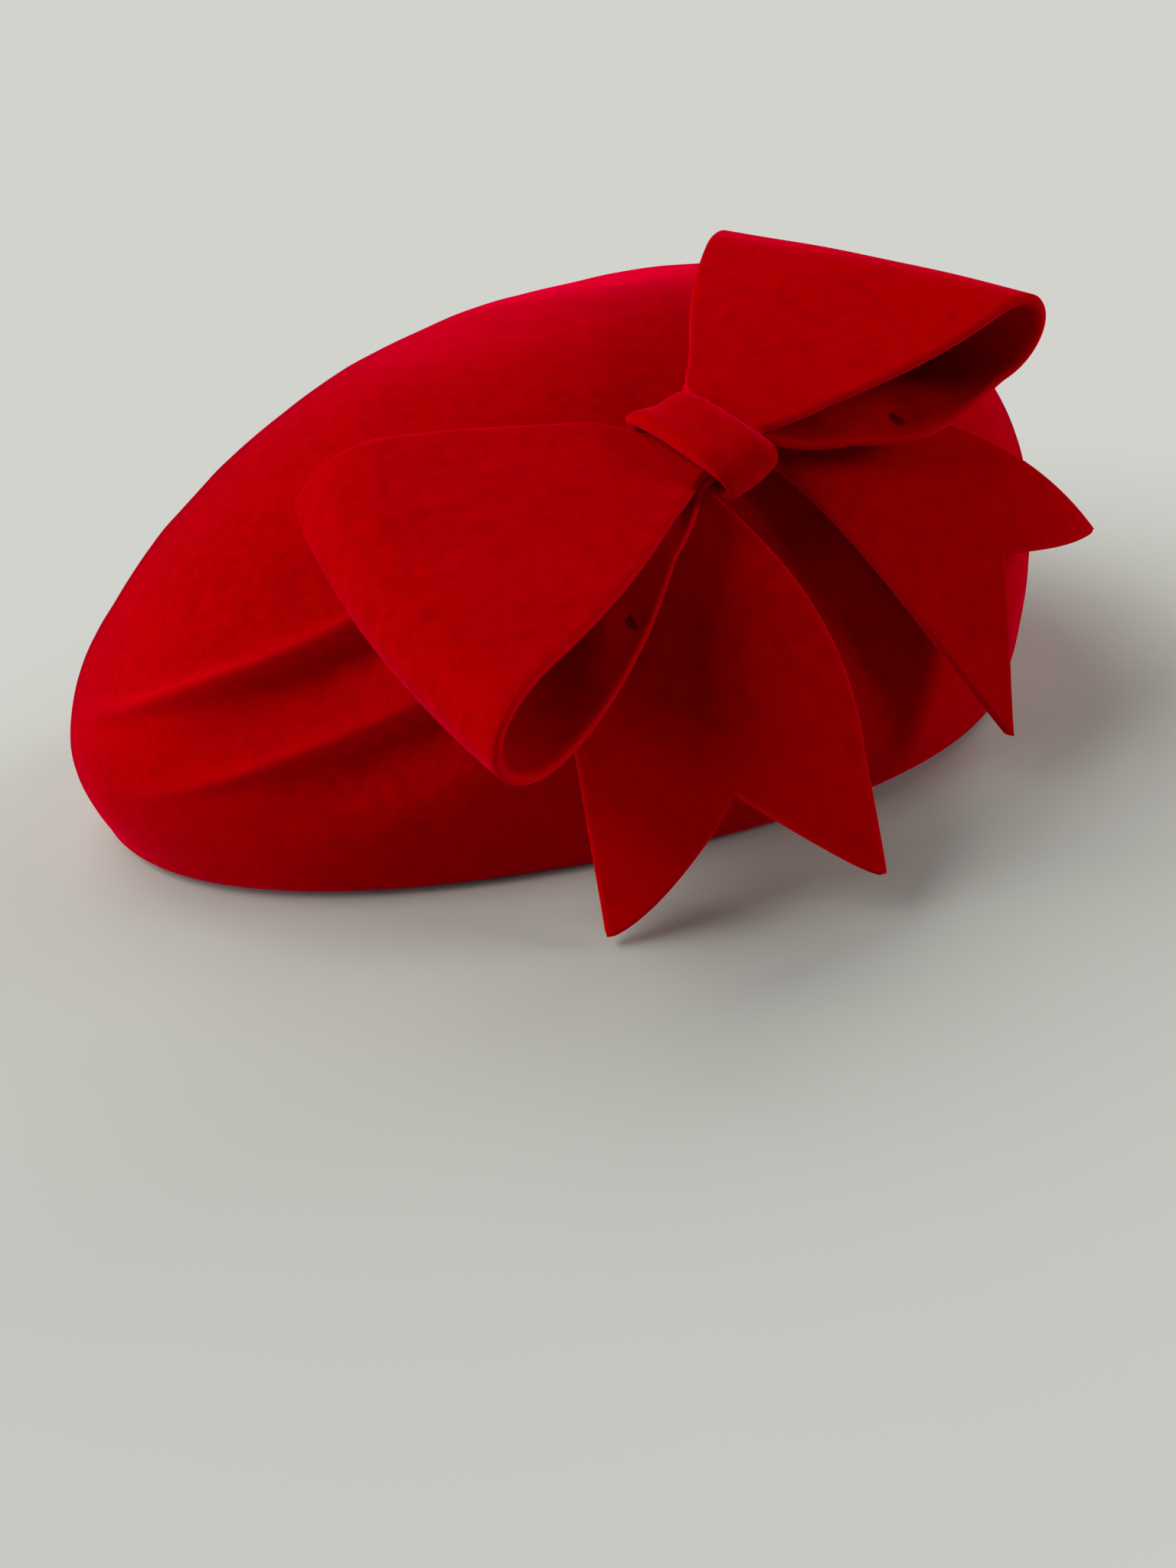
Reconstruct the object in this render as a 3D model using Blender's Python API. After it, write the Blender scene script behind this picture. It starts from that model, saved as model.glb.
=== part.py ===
# A wool felt percher beret with a sewn felt bow.
# Metres, +Z up. Z = 0 is the plane that the rim rests on, and the origin is the middle of the
# head opening in that plane. +X is the wearer's bow side, -Y is the front.
# The bow is modelled flat in its own frame: x along the loops, y towards the tails, z off the crown.

import math

import bpy
import numpy as np
from mathutils import Matrix

# Gaps between pieces that lie on each other
CLEARANCE = 0.0004
LOOP_CLEARANCE = 0.0012  # the back of a loop over the tucked crown
STITCH_CLEARANCE = 0.0007

# Crown, blocked from one felt hood
CROWN_HALF_LENGTH = 0.1147  # left to right at the widest line
CROWN_HALF_WIDTH = 0.0915  # front to back at the widest line
CROWN_HEIGHT = 0.0958
CROWN_LEAN_SIDE = 0.031  # the top stands this far to the bow side
CROWN_LEAN_BACK = 0.010
LEAN_HEIGHT = 0.025  # the lean starts about here
LEAN_BLEND = 0.006  # height over which the upright rim turns into the leaning dome
WIDEST_HEIGHT = 0.0208  # height of the widest line
OUTLINE_POWER = 2.33  # 2 is an ellipse, more is squarer
SIDE_POWER = 2.33  # fullness of the dome towards the side
TOP_POWER = 1.75  # fullness of the dome towards the top
CROWN_FELT = 0.0022
RIM_TURN_IN = 0.0025  # the wall leans in by this below the widest line
RIM_RADIUS = 0.005
HEM_WIDTH = 0.019  # from the widest line in to the edge of the hem

# Two tucks on the left front: bearing from the front and height angle, degrees, at both ends
UPPER_TUCK = (-70.0, 12.5, -5.0, 42.5)
LOWER_TUCK = (-55.0, 9.0, 0.0, 28.4)
TUCK_HEIGHT = 0.0035
TUCK_SHOULDER = 0.009  # width of the slope over the crest
TUCK_DROP = 0.005  # width of the steep side under the crest
TUCK_VALLEY = 0.0012  # depth of the crease under the crest
TUCK_CREASE = 0.008  # distance from the crest to the crease

# Rim wire and ribbon sweatband
WIRE_RADIUS = 0.0008
RIBBON_THICKNESS = 0.0008
RIBBON_WIDTH = 0.025
RIBBON_LIFT = 0.0006  # lower edge of the ribbon over the rest plane
RIBBON_LAP = 0.014  # how far the two ends overlap at the back

# Where the bow sits, degrees: bearing from the front, height angle, tilt of the loops
BOW_BEARING = 25.7
BOW_HEIGHT_ANGLE = 41.1
BOW_TILT = 29.0
BOW_FELT = 0.0018

# Knot band round the roots of the loops
KNOT_CENTRE = (0.0038, -0.0011, 0.0075)  # middle of the loop roots in the bow's frame
KNOT_PITCH = 18.4  # the tail end of the knot stands off the crown
KNOT_LENGTH = 0.0247
KNOT_HEIGHT = 0.0094
KNOT_WIDTH = 0.0100
KNOT_SWELL = 0.0007  # the middle of the band stands proud of its edges
KNOT_FLARE = 0.0016  # the band spreads to the left at its far end
KNOT_POWER = 4.0  # squareness of the wrapped band

# Loops, measured from the middle of the knot
LOOP_ROOT_WIDTH = 0.014
LOOP_ROOT_GAP = 0.0022  # between the middles of the two layers inside the knot
LOOP_STRAIGHT = 0.0075  # length that stays straight inside the knot
LEFT_LOOP_LENGTH = 0.0626
LEFT_LOOP_END_WIDTH = 0.0818
LEFT_LOOP_GAP = 0.0206
LEFT_LOOP_FOLD = 0.0155  # depth of the rounded fold
LEFT_LOOP_YAW = 14.7
LEFT_LOOP_RISE = 7.6
LEFT_LOOP_ROLL = 27.3
LEFT_LOOP_FLARE = 0.0068
LEFT_LOOP_SKEW = 0.0012  # sideways bulge of the back layer
LEFT_LOOP_SWEEP = -0.0026  # the front end of the fold stops short by this
LEFT_LOOP_BULGE = 0.0036  # the middle of the fold reaches out by this
LEFT_LOOP_CORNER = 0.0017  # the far corner of the fold is pulled in by this
RIGHT_LOOP_LENGTH = 0.0502
RIGHT_LOOP_END_WIDTH = 0.0719
RIGHT_LOOP_GAP = 0.0132
RIGHT_LOOP_FOLD = 0.0083
RIGHT_LOOP_YAW = 13.4
RIGHT_LOOP_RISE = 0.2
RIGHT_LOOP_ROLL = 29.6
RIGHT_LOOP_FLARE = 0.0066
RIGHT_LOOP_SKEW = 0.0059
RIGHT_LOOP_SWEEP = -0.0052
RIGHT_LOOP_BULGE = 0.0012
RIGHT_LOOP_CORNER = 0.0
CORNER_START = 0.72  # share of the loop after which its far corner is pulled in
LIFT_GRID = (91, 31)  # rows and columns tried for what a loop lies on
BRIDGE = (7, 9)  # rows and columns over which a loop bridges what it lies on

# Tails, measured from the side of the knot; pairs are for the left and the right half
TAIL_WIDTH = 0.048
TAIL_ROOT_WIDTH = 0.012
TAIL_NOTCH = 0.017
TAIL_UNDERLAP = 0.002  # length that runs back under the knot
LEFT_TAIL_LENGTH = 0.0738
LEFT_TAIL_ROOT = (-0.0052, -0.0007)
LEFT_TAIL_LEAN = -29.6
LEFT_TAIL_SWING = -0.37  # sideways curvature, 1/m
LEFT_TAIL_PINCH = (0.0415, 0.0546)  # length over which the gathers open out
LEFT_TAIL_EASE = (1.0, 1.0)  # above 1 opens later
LEFT_TAIL_PRONG = (1.53, 1.48)  # above 1 rounds the inner edge of a prong
LEFT_TAIL_RISE = 10.2
LEFT_TAIL_ARCH = 0.158  # radius of the arch along the tail
LEFT_TAIL_CURL = 31.7  # curvature of the right half, 1/m
LEFT_TAIL_BANK = -21.7
RIGHT_TAIL_LENGTH = 0.0651
RIGHT_TAIL_ROOT = (0.0175, 0.0016)
RIGHT_TAIL_LEAN = 25.0
RIGHT_TAIL_SWING = -1.11
RIGHT_TAIL_PINCH = (0.062, 0.0939)
RIGHT_TAIL_EASE = (1.16, 1.15)
RIGHT_TAIL_PRONG = (0.91, 1.32)
RIGHT_TAIL_RISE = 14.2
RIGHT_TAIL_ARCH = 0.0573
RIGHT_TAIL_CURL = 25.1
RIGHT_TAIL_BANK = -15.3
FLOOR_GAP = 0.0012  # the tail tips hang this far over the rest plane

# Sewing thread
THREAD_RADIUS = 0.0005
TACK_LENGTH = 0.003
LEFT_TACK_REACH = 0.0258  # from the knot's middle to the tack
LEFT_TACK_OFFSET = 0.0181  # from the loop's middle line towards its front edge
RIGHT_TACK_REACH = 0.0232
RIGHT_TACK_OFFSET = 0.0157
STITCH_LENGTH = 0.006
STITCH_SPACING = 0.008

# Mesh steps
CROWN_STEPS = 72
TUCK_SIDE = 237.0  # direction of the tucks round the crown, degrees
TUCK_CROWDING = 2.2
DOME_ROWS = 24
DOME_ROW_BIAS = 1.3  # above 1 sets the rows closer near the tucks
WIRE_STEPS = 60
RIBBON_STEPS = 72
LOOP_STEPS = (10, 10, 14)
LOOP_COLUMNS = 8
TAIL_ROWS = 18
TAIL_COLUMNS = 10
KNOT_STEPS = 36
KNOT_COLUMNS = 4
PROBE = 0.00005  # step of the numeric slopes


def clear_scene():
    for existing in list(bpy.data.objects):
        bpy.data.objects.remove(existing, do_unlink=True)


def unit(vectors):
    return vectors / np.linalg.norm(vectors, axis=-1, keepdims=True)


def soft_max(a, b, blend):
    return 0.5 * (a + b + np.sqrt((a - b) ** 2 + blend**2))


# Shape of the crown


def rim_outline(angle, inset):
    # Superellipse at the widest line, moved in along its own normal by the inset.
    c = np.cos(angle)
    s = np.sin(angle)
    x = CROWN_HALF_LENGTH * np.sign(c) * np.abs(c) ** (2.0 / OUTLINE_POWER)
    y = CROWN_HALF_WIDTH * np.sign(s) * np.abs(s) ** (2.0 / OUTLINE_POWER)
    nx = np.sign(c) * np.abs(x / CROWN_HALF_LENGTH) ** (OUTLINE_POWER - 1.0) / CROWN_HALF_LENGTH
    ny = np.sign(s) * np.abs(y / CROWN_HALF_WIDTH) ** (OUTLINE_POWER - 1.0) / CROWN_HALF_WIDTH
    size = np.hypot(nx, ny)
    return x - inset * nx / size, y - inset * ny / size


def lean_share(height):
    # 0 at the rim and 1 at the top, with a soft start.
    over = (np.minimum(height, CROWN_HEIGHT) - LEAN_HEIGHT) / LEAN_BLEND
    return LEAN_BLEND * np.logaddexp(0.0, over) / (CROWN_HEIGHT - LEAN_HEIGHT)


def dome_value(points):
    # Below 0 inside the blocked shape: ring^side + climb^top = 1, leaning as it climbs.
    climb = np.clip((points[..., 2] - WIDEST_HEIGHT) / (CROWN_HEIGHT - WIDEST_HEIGHT), 0.0, None)
    lean = lean_share(points[..., 2])
    u = np.abs(points[..., 0] - CROWN_LEAN_SIDE * lean) / CROWN_HALF_LENGTH
    v = np.abs(points[..., 1] - CROWN_LEAN_BACK * lean) / CROWN_HALF_WIDTH
    ring = (u**OUTLINE_POWER + v**OUTLINE_POWER) ** (1.0 / OUTLINE_POWER)
    return ring**SIDE_POWER + climb**TOP_POWER - 1.0


def crown_normals(points):
    steps = PROBE * np.eye(3)
    slopes = [dome_value(points + step) - dome_value(points - step) for step in steps]
    return unit(np.stack(slopes, axis=-1))


def tuck_lift(points):
    # Each tuck is a crest with a long slope above it, a steep drop and a crease below it.
    bearing = np.degrees(np.arctan2(points[..., 0], -points[..., 1]))
    flat = np.hypot(points[..., 0], points[..., 1])
    height_angle = np.degrees(np.arctan2(points[..., 2], flat))
    radius = np.hypot(flat, points[..., 2])
    lift = np.zeros(points.shape[:-1])
    for start, start_height, end, end_height in (UPPER_TUCK, LOWER_TUCK):
        along = np.clip((bearing - start) / (end - start), 0.0, 1.0)
        crest = start_height + (end_height - start_height) * along
        across = radius * np.radians(height_angle - crest)
        width = np.where(across > 0.0, TUCK_SHOULDER, TUCK_DROP)
        ridge = TUCK_HEIGHT * np.exp(-((across / width) ** 2))
        crease = TUCK_VALLEY * np.exp(-(((across + TUCK_CREASE) / TUCK_DROP) ** 2))
        lift += np.sin(math.pi * along**1.5) ** 2 * (ridge - crease)
    return lift


def dome_rows():
    # Rows from just under the top down to the widest line.
    share = np.linspace(0.0, 1.0, DOME_ROWS + 1)[:0:-1]
    turn = 0.5 * math.pi * share**DOME_ROW_BIAS
    climb = np.sin(turn) ** (2.0 / TOP_POWER)
    ring = np.cos(turn) ** (2.0 / SIDE_POWER)
    return climb[1:], ring[1:]


def crown_angles():
    # Steps round the crown, set closer together on the tucked left front.
    fine = np.linspace(0.0, 2.0 * math.pi, 721)
    crowding = 1.0 + TUCK_CROWDING * np.exp(-(((np.degrees(fine) - TUCK_SIDE) / 45.0) ** 4))
    count = np.concatenate(([0.0], np.cumsum(crowding[:-1])))
    even = np.linspace(0.0, count[-1], CROWN_STEPS, endpoint=False)
    return np.interp(even, count, fine)


def crown_skin():
    angle = crown_angles()
    x, y = rim_outline(angle, 0.0)
    climb, ring = dome_rows()
    rise = CROWN_HEIGHT - WIDEST_HEIGHT
    dome = np.empty((len(climb), CROWN_STEPS, 3))
    dome[..., 0] = ring[:, None] * x
    dome[..., 1] = ring[:, None] * y
    dome[..., 2] = (WIDEST_HEIGHT + rise * climb)[:, None]
    # Wall, rounded rim and flat hem, as pairs of inset and height.
    wall_heights = np.linspace(WIDEST_HEIGHT, RIM_RADIUS, 4)[:-1]
    wall_share = (WIDEST_HEIGHT - wall_heights) / (WIDEST_HEIGHT - RIM_RADIUS)
    turn = np.linspace(0.0, 0.5 * math.pi, 4)
    insets = np.concatenate(
        (RIM_TURN_IN * wall_share**2, RIM_TURN_IN + RIM_RADIUS * (1.0 - np.cos(turn)), [HEM_WIDTH])
    )
    heights = np.concatenate((wall_heights, RIM_RADIUS * (1.0 - np.sin(turn)), [0.0]))
    edge = np.empty((len(insets), CROWN_STEPS, 3))
    edge[..., 0], edge[..., 1] = rim_outline(angle[None, :], insets[:, None])
    edge[..., 2] = heights[:, None]
    skin = np.concatenate((dome, edge))
    lean = lean_share(skin[..., 2])
    skin[..., 0] += CROWN_LEAN_SIDE * lean
    skin[..., 1] += CROWN_LEAN_BACK * lean
    tucked = np.where(skin[..., 2] > RIM_RADIUS, tuck_lift(skin), 0.0)
    skin += tucked[..., None] * crown_normals(skin)
    top = np.array([CROWN_LEAN_SIDE, CROWN_LEAN_BACK, CROWN_HEIGHT])
    return top, skin


# Frame of the bow, and what lies under it


def meet_crown(origins, directions, near, far):
    # Distance along each direction where the blocked shape ends.
    near = np.full(origins.shape[:-1], near)
    far = np.full(origins.shape[:-1], far)
    for _ in range(50):
        middle = 0.5 * (near + far)
        inside = dome_value(origins + middle[..., None] * directions) < 0.0
        near = np.where(inside, middle, near)
        far = np.where(inside, far, middle)
    return 0.5 * (near + far)


def bow_frame():
    # Rows: along the loops, towards the tails, off the crown; then the seat of the knot.
    bearing = math.radians(BOW_BEARING)
    height = math.radians(BOW_HEIGHT_ANGLE)
    ray = np.array(
        [
            math.sin(bearing) * math.cos(height),
            -math.cos(bearing) * math.cos(height),
            math.sin(height),
        ]
    )
    reach = meet_crown(np.zeros(3), ray, 0.0, CROWN_HALF_LENGTH + CROWN_HEIGHT)
    seat = reach * ray
    out = crown_normals(seat)
    level = unit(np.cross([0.0, 0.0, 1.0], out))
    uphill = np.cross(out, level)
    tilt = math.radians(BOW_TILT)
    along = math.cos(tilt) * level + math.sin(tilt) * uphill
    return np.stack((along, np.cross(along, out), out)), seat


BOW_AXES, BOW_SEAT = bow_frame()


def crown_under(t, s):
    # Height of the crown in the bow's frame, and the height per metre of gap square to the felt.
    feet = BOW_SEAT + t[..., None] * BOW_AXES[0] + s[..., None] * BOW_AXES[1]
    depth = CROWN_HALF_LENGTH + CROWN_HEIGHT
    height = meet_crown(feet - depth * BOW_AXES[2], BOW_AXES[2], 0.0, depth) - depth
    points = feet + height[..., None] * BOW_AXES[2]
    facing = np.clip(crown_normals(points) @ BOW_AXES[2], 0.45, 1.0)
    return height + tuck_lift(points) / facing, 1.0 / facing


def floor_under(t, s):
    up = BOW_AXES[:, 2]
    return (FLOOR_GAP - BOW_SEAT[2] - t * up[0] - s * up[1]) / up[2]


# Tails of the bow

LEFT_TAIL = {
    "name": "bow_tail_left",
    "length": LEFT_TAIL_LENGTH,
    "root": LEFT_TAIL_ROOT,
    "lean": math.radians(LEFT_TAIL_LEAN),
    "swing": LEFT_TAIL_SWING,
    "pinch": LEFT_TAIL_PINCH,
    "ease": LEFT_TAIL_EASE,
    "prong": LEFT_TAIL_PRONG,
    "rise": math.tan(math.radians(LEFT_TAIL_RISE)),
    "arch": LEFT_TAIL_ARCH,
    "curl": LEFT_TAIL_CURL,
    "bank": math.tan(math.radians(LEFT_TAIL_BANK)),
}
RIGHT_TAIL = {
    "name": "bow_tail_right",
    "length": RIGHT_TAIL_LENGTH,
    "root": RIGHT_TAIL_ROOT,
    "lean": math.radians(RIGHT_TAIL_LEAN),
    "swing": RIGHT_TAIL_SWING,
    "pinch": RIGHT_TAIL_PINCH,
    "ease": RIGHT_TAIL_EASE,
    "prong": RIGHT_TAIL_PRONG,
    "rise": math.tan(math.radians(RIGHT_TAIL_RISE)),
    "arch": RIGHT_TAIL_ARCH,
    "curl": RIGHT_TAIL_CURL,
    "bank": math.tan(math.radians(RIGHT_TAIL_BANK)),
}


def tail_half_width(tail, reach, side):
    # Narrow under the knot, opening out in a quarter wave on each side.
    pinch = np.where(side > 0.0, tail["pinch"][1], tail["pinch"][0])
    ease = np.where(side > 0.0, tail["ease"][1], tail["ease"][0])
    opened = np.sin(0.5 * math.pi * np.clip(reach / pinch, 0.0, 1.0)) ** ease
    return 0.5 * (TAIL_ROOT_WIDTH + (TAIL_WIDTH - TAIL_ROOT_WIDTH) * opened)


def tail_opened(tail, reach):
    return np.clip(reach / max(tail["pinch"]), 0.0, 1.0)


def tail_height(tail, t, s, reach, side):
    # The felt lies on the crown near the knot, then flies off it in an arch and clears the floor.
    opened = tail_opened(tail, reach)
    bend = tail["curl"] * opened * np.clip(side, 0.0, None)
    sink = bend * np.clip(side, 0.0, None) / (1.0 + np.sqrt(np.clip(1.0 - bend**2, 0.05, None)))
    flight = CLEARANCE + 0.5 * BOW_FELT + tail["rise"] * reach - reach**2 / (2.0 * tail["arch"])
    flight = flight - sink - tail["bank"] * opened * side
    crown, stretch = crown_under(t, s)
    rest = crown + (0.5 * BOW_FELT + CLEARANCE) * stretch
    floor = floor_under(t, s) + 0.5 * BOW_FELT
    return soft_max(soft_max(rest, flight, BOW_FELT / 3.0), floor, BOW_FELT / 3.0)


def tail_sheet(tail):
    # Rows run from the knot to the end, columns across; the end is cut in to a V.
    across = np.linspace(-1.0, 1.0, TAIL_COLUMNS + 1)
    down = np.linspace(0.0, 1.0, TAIL_ROWS + 1)[:, None]
    prong = np.where(across > 0.0, tail["prong"][1], tail["prong"][0])
    end = tail["length"] - TAIL_NOTCH * (1.0 - np.abs(across)) ** prong
    reach = -TAIL_UNDERLAP + down * (end + TAIL_UNDERLAP)
    arc = across * tail_half_width(tail, reach, across)
    curl = tail["curl"] * tail_opened(tail, reach)
    side = np.where(arc > 0.0, arc * np.sinc(arc * curl / math.pi), arc)
    aside = side + 0.5 * tail["swing"] * reach**2
    lean = tail["lean"]
    t = tail["root"][0] + reach * math.sin(lean) + aside * math.cos(lean)
    s = tail["root"][1] + reach * math.cos(lean) - aside * math.sin(lean)
    return np.stack((t, s, tail_height(tail, t, s, reach, side)), axis=-1)


def over_tail(tail, t, s):
    # Height that a sheet needs to lie on this tail; outside its outline it falls away.
    lean = tail["lean"]
    dt = t - tail["root"][0]
    ds = s - tail["root"][1]
    reach = dt * math.sin(lean) + ds * math.cos(lean)
    side = dt * math.cos(lean) - ds * math.sin(lean) - 0.5 * tail["swing"] * reach**2
    outside = np.maximum(np.abs(side) - tail_half_width(tail, reach, side), -TAIL_UNDERLAP - reach)
    skirt = 0.8 * np.clip(outside - BOW_FELT, 0.0, None)
    stack = 1.25 * (BOW_FELT + CLEARANCE)
    return tail_height(tail, t, s, reach, side) + stack - skirt


# Loops of the bow

LEFT_LOOP = {
    "name": "bow_loop_left",
    "hand": -1.0,
    "length": LEFT_LOOP_LENGTH,
    "end_width": LEFT_LOOP_END_WIDTH,
    "gap": LEFT_LOOP_GAP,
    "fold": LEFT_LOOP_FOLD,
    "yaw": math.radians(LEFT_LOOP_YAW),
    "rise": math.radians(LEFT_LOOP_RISE),
    "roll": math.radians(LEFT_LOOP_ROLL),
    "flare": LEFT_LOOP_FLARE,
    "skew": LEFT_LOOP_SKEW,
    "sweep": LEFT_LOOP_SWEEP,
    "bulge": LEFT_LOOP_BULGE,
    "corner": LEFT_LOOP_CORNER,
    "over": LEFT_TAIL,
    "tack": "loop_tack_left",
    "tack_reach": LEFT_TACK_REACH,
    "tack_offset": LEFT_TACK_OFFSET,
}
RIGHT_LOOP = {
    "name": "bow_loop_right",
    "hand": 1.0,
    "length": RIGHT_LOOP_LENGTH,
    "end_width": RIGHT_LOOP_END_WIDTH,
    "gap": RIGHT_LOOP_GAP,
    "fold": RIGHT_LOOP_FOLD,
    "yaw": math.radians(RIGHT_LOOP_YAW),
    "rise": math.radians(RIGHT_LOOP_RISE),
    "roll": math.radians(RIGHT_LOOP_ROLL),
    "flare": RIGHT_LOOP_FLARE,
    "skew": RIGHT_LOOP_SKEW,
    "sweep": RIGHT_LOOP_SWEEP,
    "bulge": RIGHT_LOOP_BULGE,
    "corner": RIGHT_LOOP_CORNER,
    "over": RIGHT_TAIL,
    "tack": "loop_tack_right",
    "tack_reach": RIGHT_TACK_REACH,
    "tack_offset": RIGHT_TACK_OFFSET,
}


def loop_profile(loop, path):
    # Path 0 to 1 is the front layer out from the knot, 1 to 2 the fold, 2 to 3 the back layer home.
    # Gives the distance from the knot, the depth under the front layer and the sideways bulge.
    # The fold is half an ellipse; the back layer closes up to the front one in a parabola.
    flat = loop["length"] - loop["fold"]
    turn = 0.5 * math.pi - math.pi * np.clip(path - 1.0, 0.0, 1.0)
    front = flat * np.clip(path, 0.0, 1.0)
    back = flat * np.clip(3.0 - path, 0.0, 1.0)
    on_back = path > 2.0
    on_fold = (path > 1.0) & ~on_back
    reach = np.where(on_back, back, np.where(on_fold, flat + loop["fold"] * np.cos(turn), front))
    opened = np.clip((back - LOOP_STRAIGHT) / (flat - LOOP_STRAIGHT), 0.0, 1.0)
    belly = LOOP_ROOT_GAP + (loop["gap"] - LOOP_ROOT_GAP) * (1.0 - (1.0 - opened) ** 2)
    fold_depth = 0.5 * loop["gap"] * (1.0 - np.sin(turn))
    depth = np.where(on_back, belly, np.where(on_fold, fold_depth, 0.0))
    skew = np.where(on_back, loop["skew"] * np.sin(math.pi * opened), 0.0)
    return reach, depth, skew


def loop_axes(loop, share):
    # Heading, sideways and upright directions once the given share of the turn is made.
    yaw = loop["yaw"] * share
    rise = loop["rise"] * share
    zero = np.zeros_like(share)
    heading = (loop["hand"] * np.cos(yaw) * np.cos(rise), -np.sin(yaw) * np.cos(rise), np.sin(rise))
    heading = np.stack(heading, axis=-1)
    sideways = np.stack((loop["hand"] * np.sin(yaw), np.cos(yaw), zero), axis=-1)
    return heading, sideways, loop["hand"] * np.cross(heading, sideways)


def loop_opened(loop, reach):
    return np.clip((reach - LOOP_STRAIGHT) / (loop["length"] - LOOP_STRAIGHT), 0.0, 1.0)


def loop_width(loop, reach):
    opened = loop_opened(loop, reach)
    width = LOOP_ROOT_WIDTH + (loop["end_width"] - LOOP_ROOT_WIDTH) * opened
    return width + 4.0 * loop["flare"] * opened * (1.0 - opened)


def knot_axes():
    # The knot is pitched up about the loops' direction.
    pitch = math.radians(KNOT_PITCH)
    c = math.cos(pitch)
    s = math.sin(pitch)
    return np.array([[1.0, 0.0, 0.0], [0.0, c, s], [0.0, -s, c]])


def loop_sweep(loop, path, across):
    reach, depth, skew = loop_profile(loop, path)
    opened = loop_opened(loop, reach)
    half_width = 0.5 * loop_width(loop, reach)
    # The fold runs askew and bulges in its middle, and its far corner is pulled in.
    late = np.clip((opened - CORNER_START) / (1.0 - CORNER_START), 0.0, 1.0)
    pulled = loop["corner"] * late**2 * (3.0 - 2.0 * late) * np.clip(-across, 0.0, 1.0) ** 2
    free = np.clip((reach - LOOP_STRAIGHT) / LOOP_STRAIGHT, 0.0, 1.0)
    reach = reach + (loop["sweep"] * across + loop["bulge"] * (1.0 - across**2)) * opened**2
    # The felt leaves the knot square to it and turns into its own heading and roll.
    sideways, upright = loop_axes(loop, free)[1:]
    root_roll = math.radians(KNOT_PITCH)
    roll = (root_roll + (loop["roll"] - root_roll) * opened)[..., None]
    lateral = np.cos(roll) * sideways + np.sin(roll) * upright
    normal = np.cos(roll) * upright - np.sin(roll) * sideways
    points = np.array(KNOT_CENTRE) + 0.5 * LOOP_ROOT_GAP * knot_axes()[2]
    points = points + np.minimum(reach, LOOP_STRAIGHT)[..., None] * np.array([loop["hand"], 0.0, 0.0])
    points = points + np.maximum(reach - LOOP_STRAIGHT, 0.0)[..., None] * loop_axes(loop, np.ones(1))[0]
    points = points + (across * half_width + pulled)[..., None] * lateral
    return points - depth[..., None] * normal + skew[..., None] * sideways, free


def even_out(values, window, axis):
    # The largest value in the window, then the mean of those, so that it never falls under the values.
    pad = [(0, 0), (0, 0)]
    pad[axis] = (window - 1, window - 1)
    padded = np.pad(values, pad, mode="edge")
    spread = np.lib.stride_tricks.sliding_window_view(padded, window, axis=axis).max(axis=-1)
    return np.lib.stride_tricks.sliding_window_view(spread, window, axis=axis).mean(axis=-1)


def loop_lift(loop):
    # The back layer is raised until it clears what it lies on, and bridges short steps in it.
    rows = np.linspace(0.0, 3.0, LIFT_GRID[0])
    columns = np.linspace(-1.0, 1.0, LIFT_GRID[1])
    path, across = np.meshgrid(rows, columns, indexing="ij")
    points, free = loop_sweep(loop, path, across)
    crown, stretch = crown_under(points[..., 0], points[..., 1])
    rest = crown + (0.5 * BOW_FELT + LOOP_CLEARANCE) * stretch
    rest = np.maximum(rest, over_tail(loop["over"], points[..., 0], points[..., 1]))
    need = free * np.clip(rest - points[..., 2], 0.0, None)
    return even_out(even_out(need, BRIDGE[0], 0), BRIDGE[1], 1)


def loop_surface(loop, path, across):
    # The swept loop with its lift, read between the four nearest places of the grid.
    points, free = loop_sweep(loop, path, across)
    lift = loop_lift(loop)
    row = np.clip(path / 3.0, 0.0, 1.0) * (LIFT_GRID[0] - 1)
    column = np.clip(0.5 + 0.5 * across, 0.0, 1.0) * (LIFT_GRID[1] - 1)
    r = np.minimum(row.astype(int), LIFT_GRID[0] - 2)
    c = np.minimum(column.astype(int), LIFT_GRID[1] - 2)
    dr = row - r
    dc = column - c
    upper = lift[r, c] * (1.0 - dc) + lift[r, c + 1] * dc
    lower = lift[r + 1, c] * (1.0 - dc) + lift[r + 1, c + 1] * dc
    points[..., 2] += free * (upper * (1.0 - dr) + lower * dr)
    return points


def loop_sheet(loop):
    front, fold, back = LOOP_STEPS
    flat = loop["length"] - loop["fold"]
    start = CLEARANCE / flat
    knee = LOOP_STRAIGHT / flat
    path = np.concatenate(
        (
            [start],
            np.linspace(knee, 1.0, front, endpoint=False),
            np.linspace(1.0, 2.0, fold, endpoint=False),
            np.linspace(2.0, 3.0 - knee, back),
            [3.0 - start],
        )
    )
    path, across = np.meshgrid(path, np.linspace(-1.0, 1.0, LOOP_COLUMNS + 1), indexing="ij")
    return loop_surface(loop, path, across)


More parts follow.
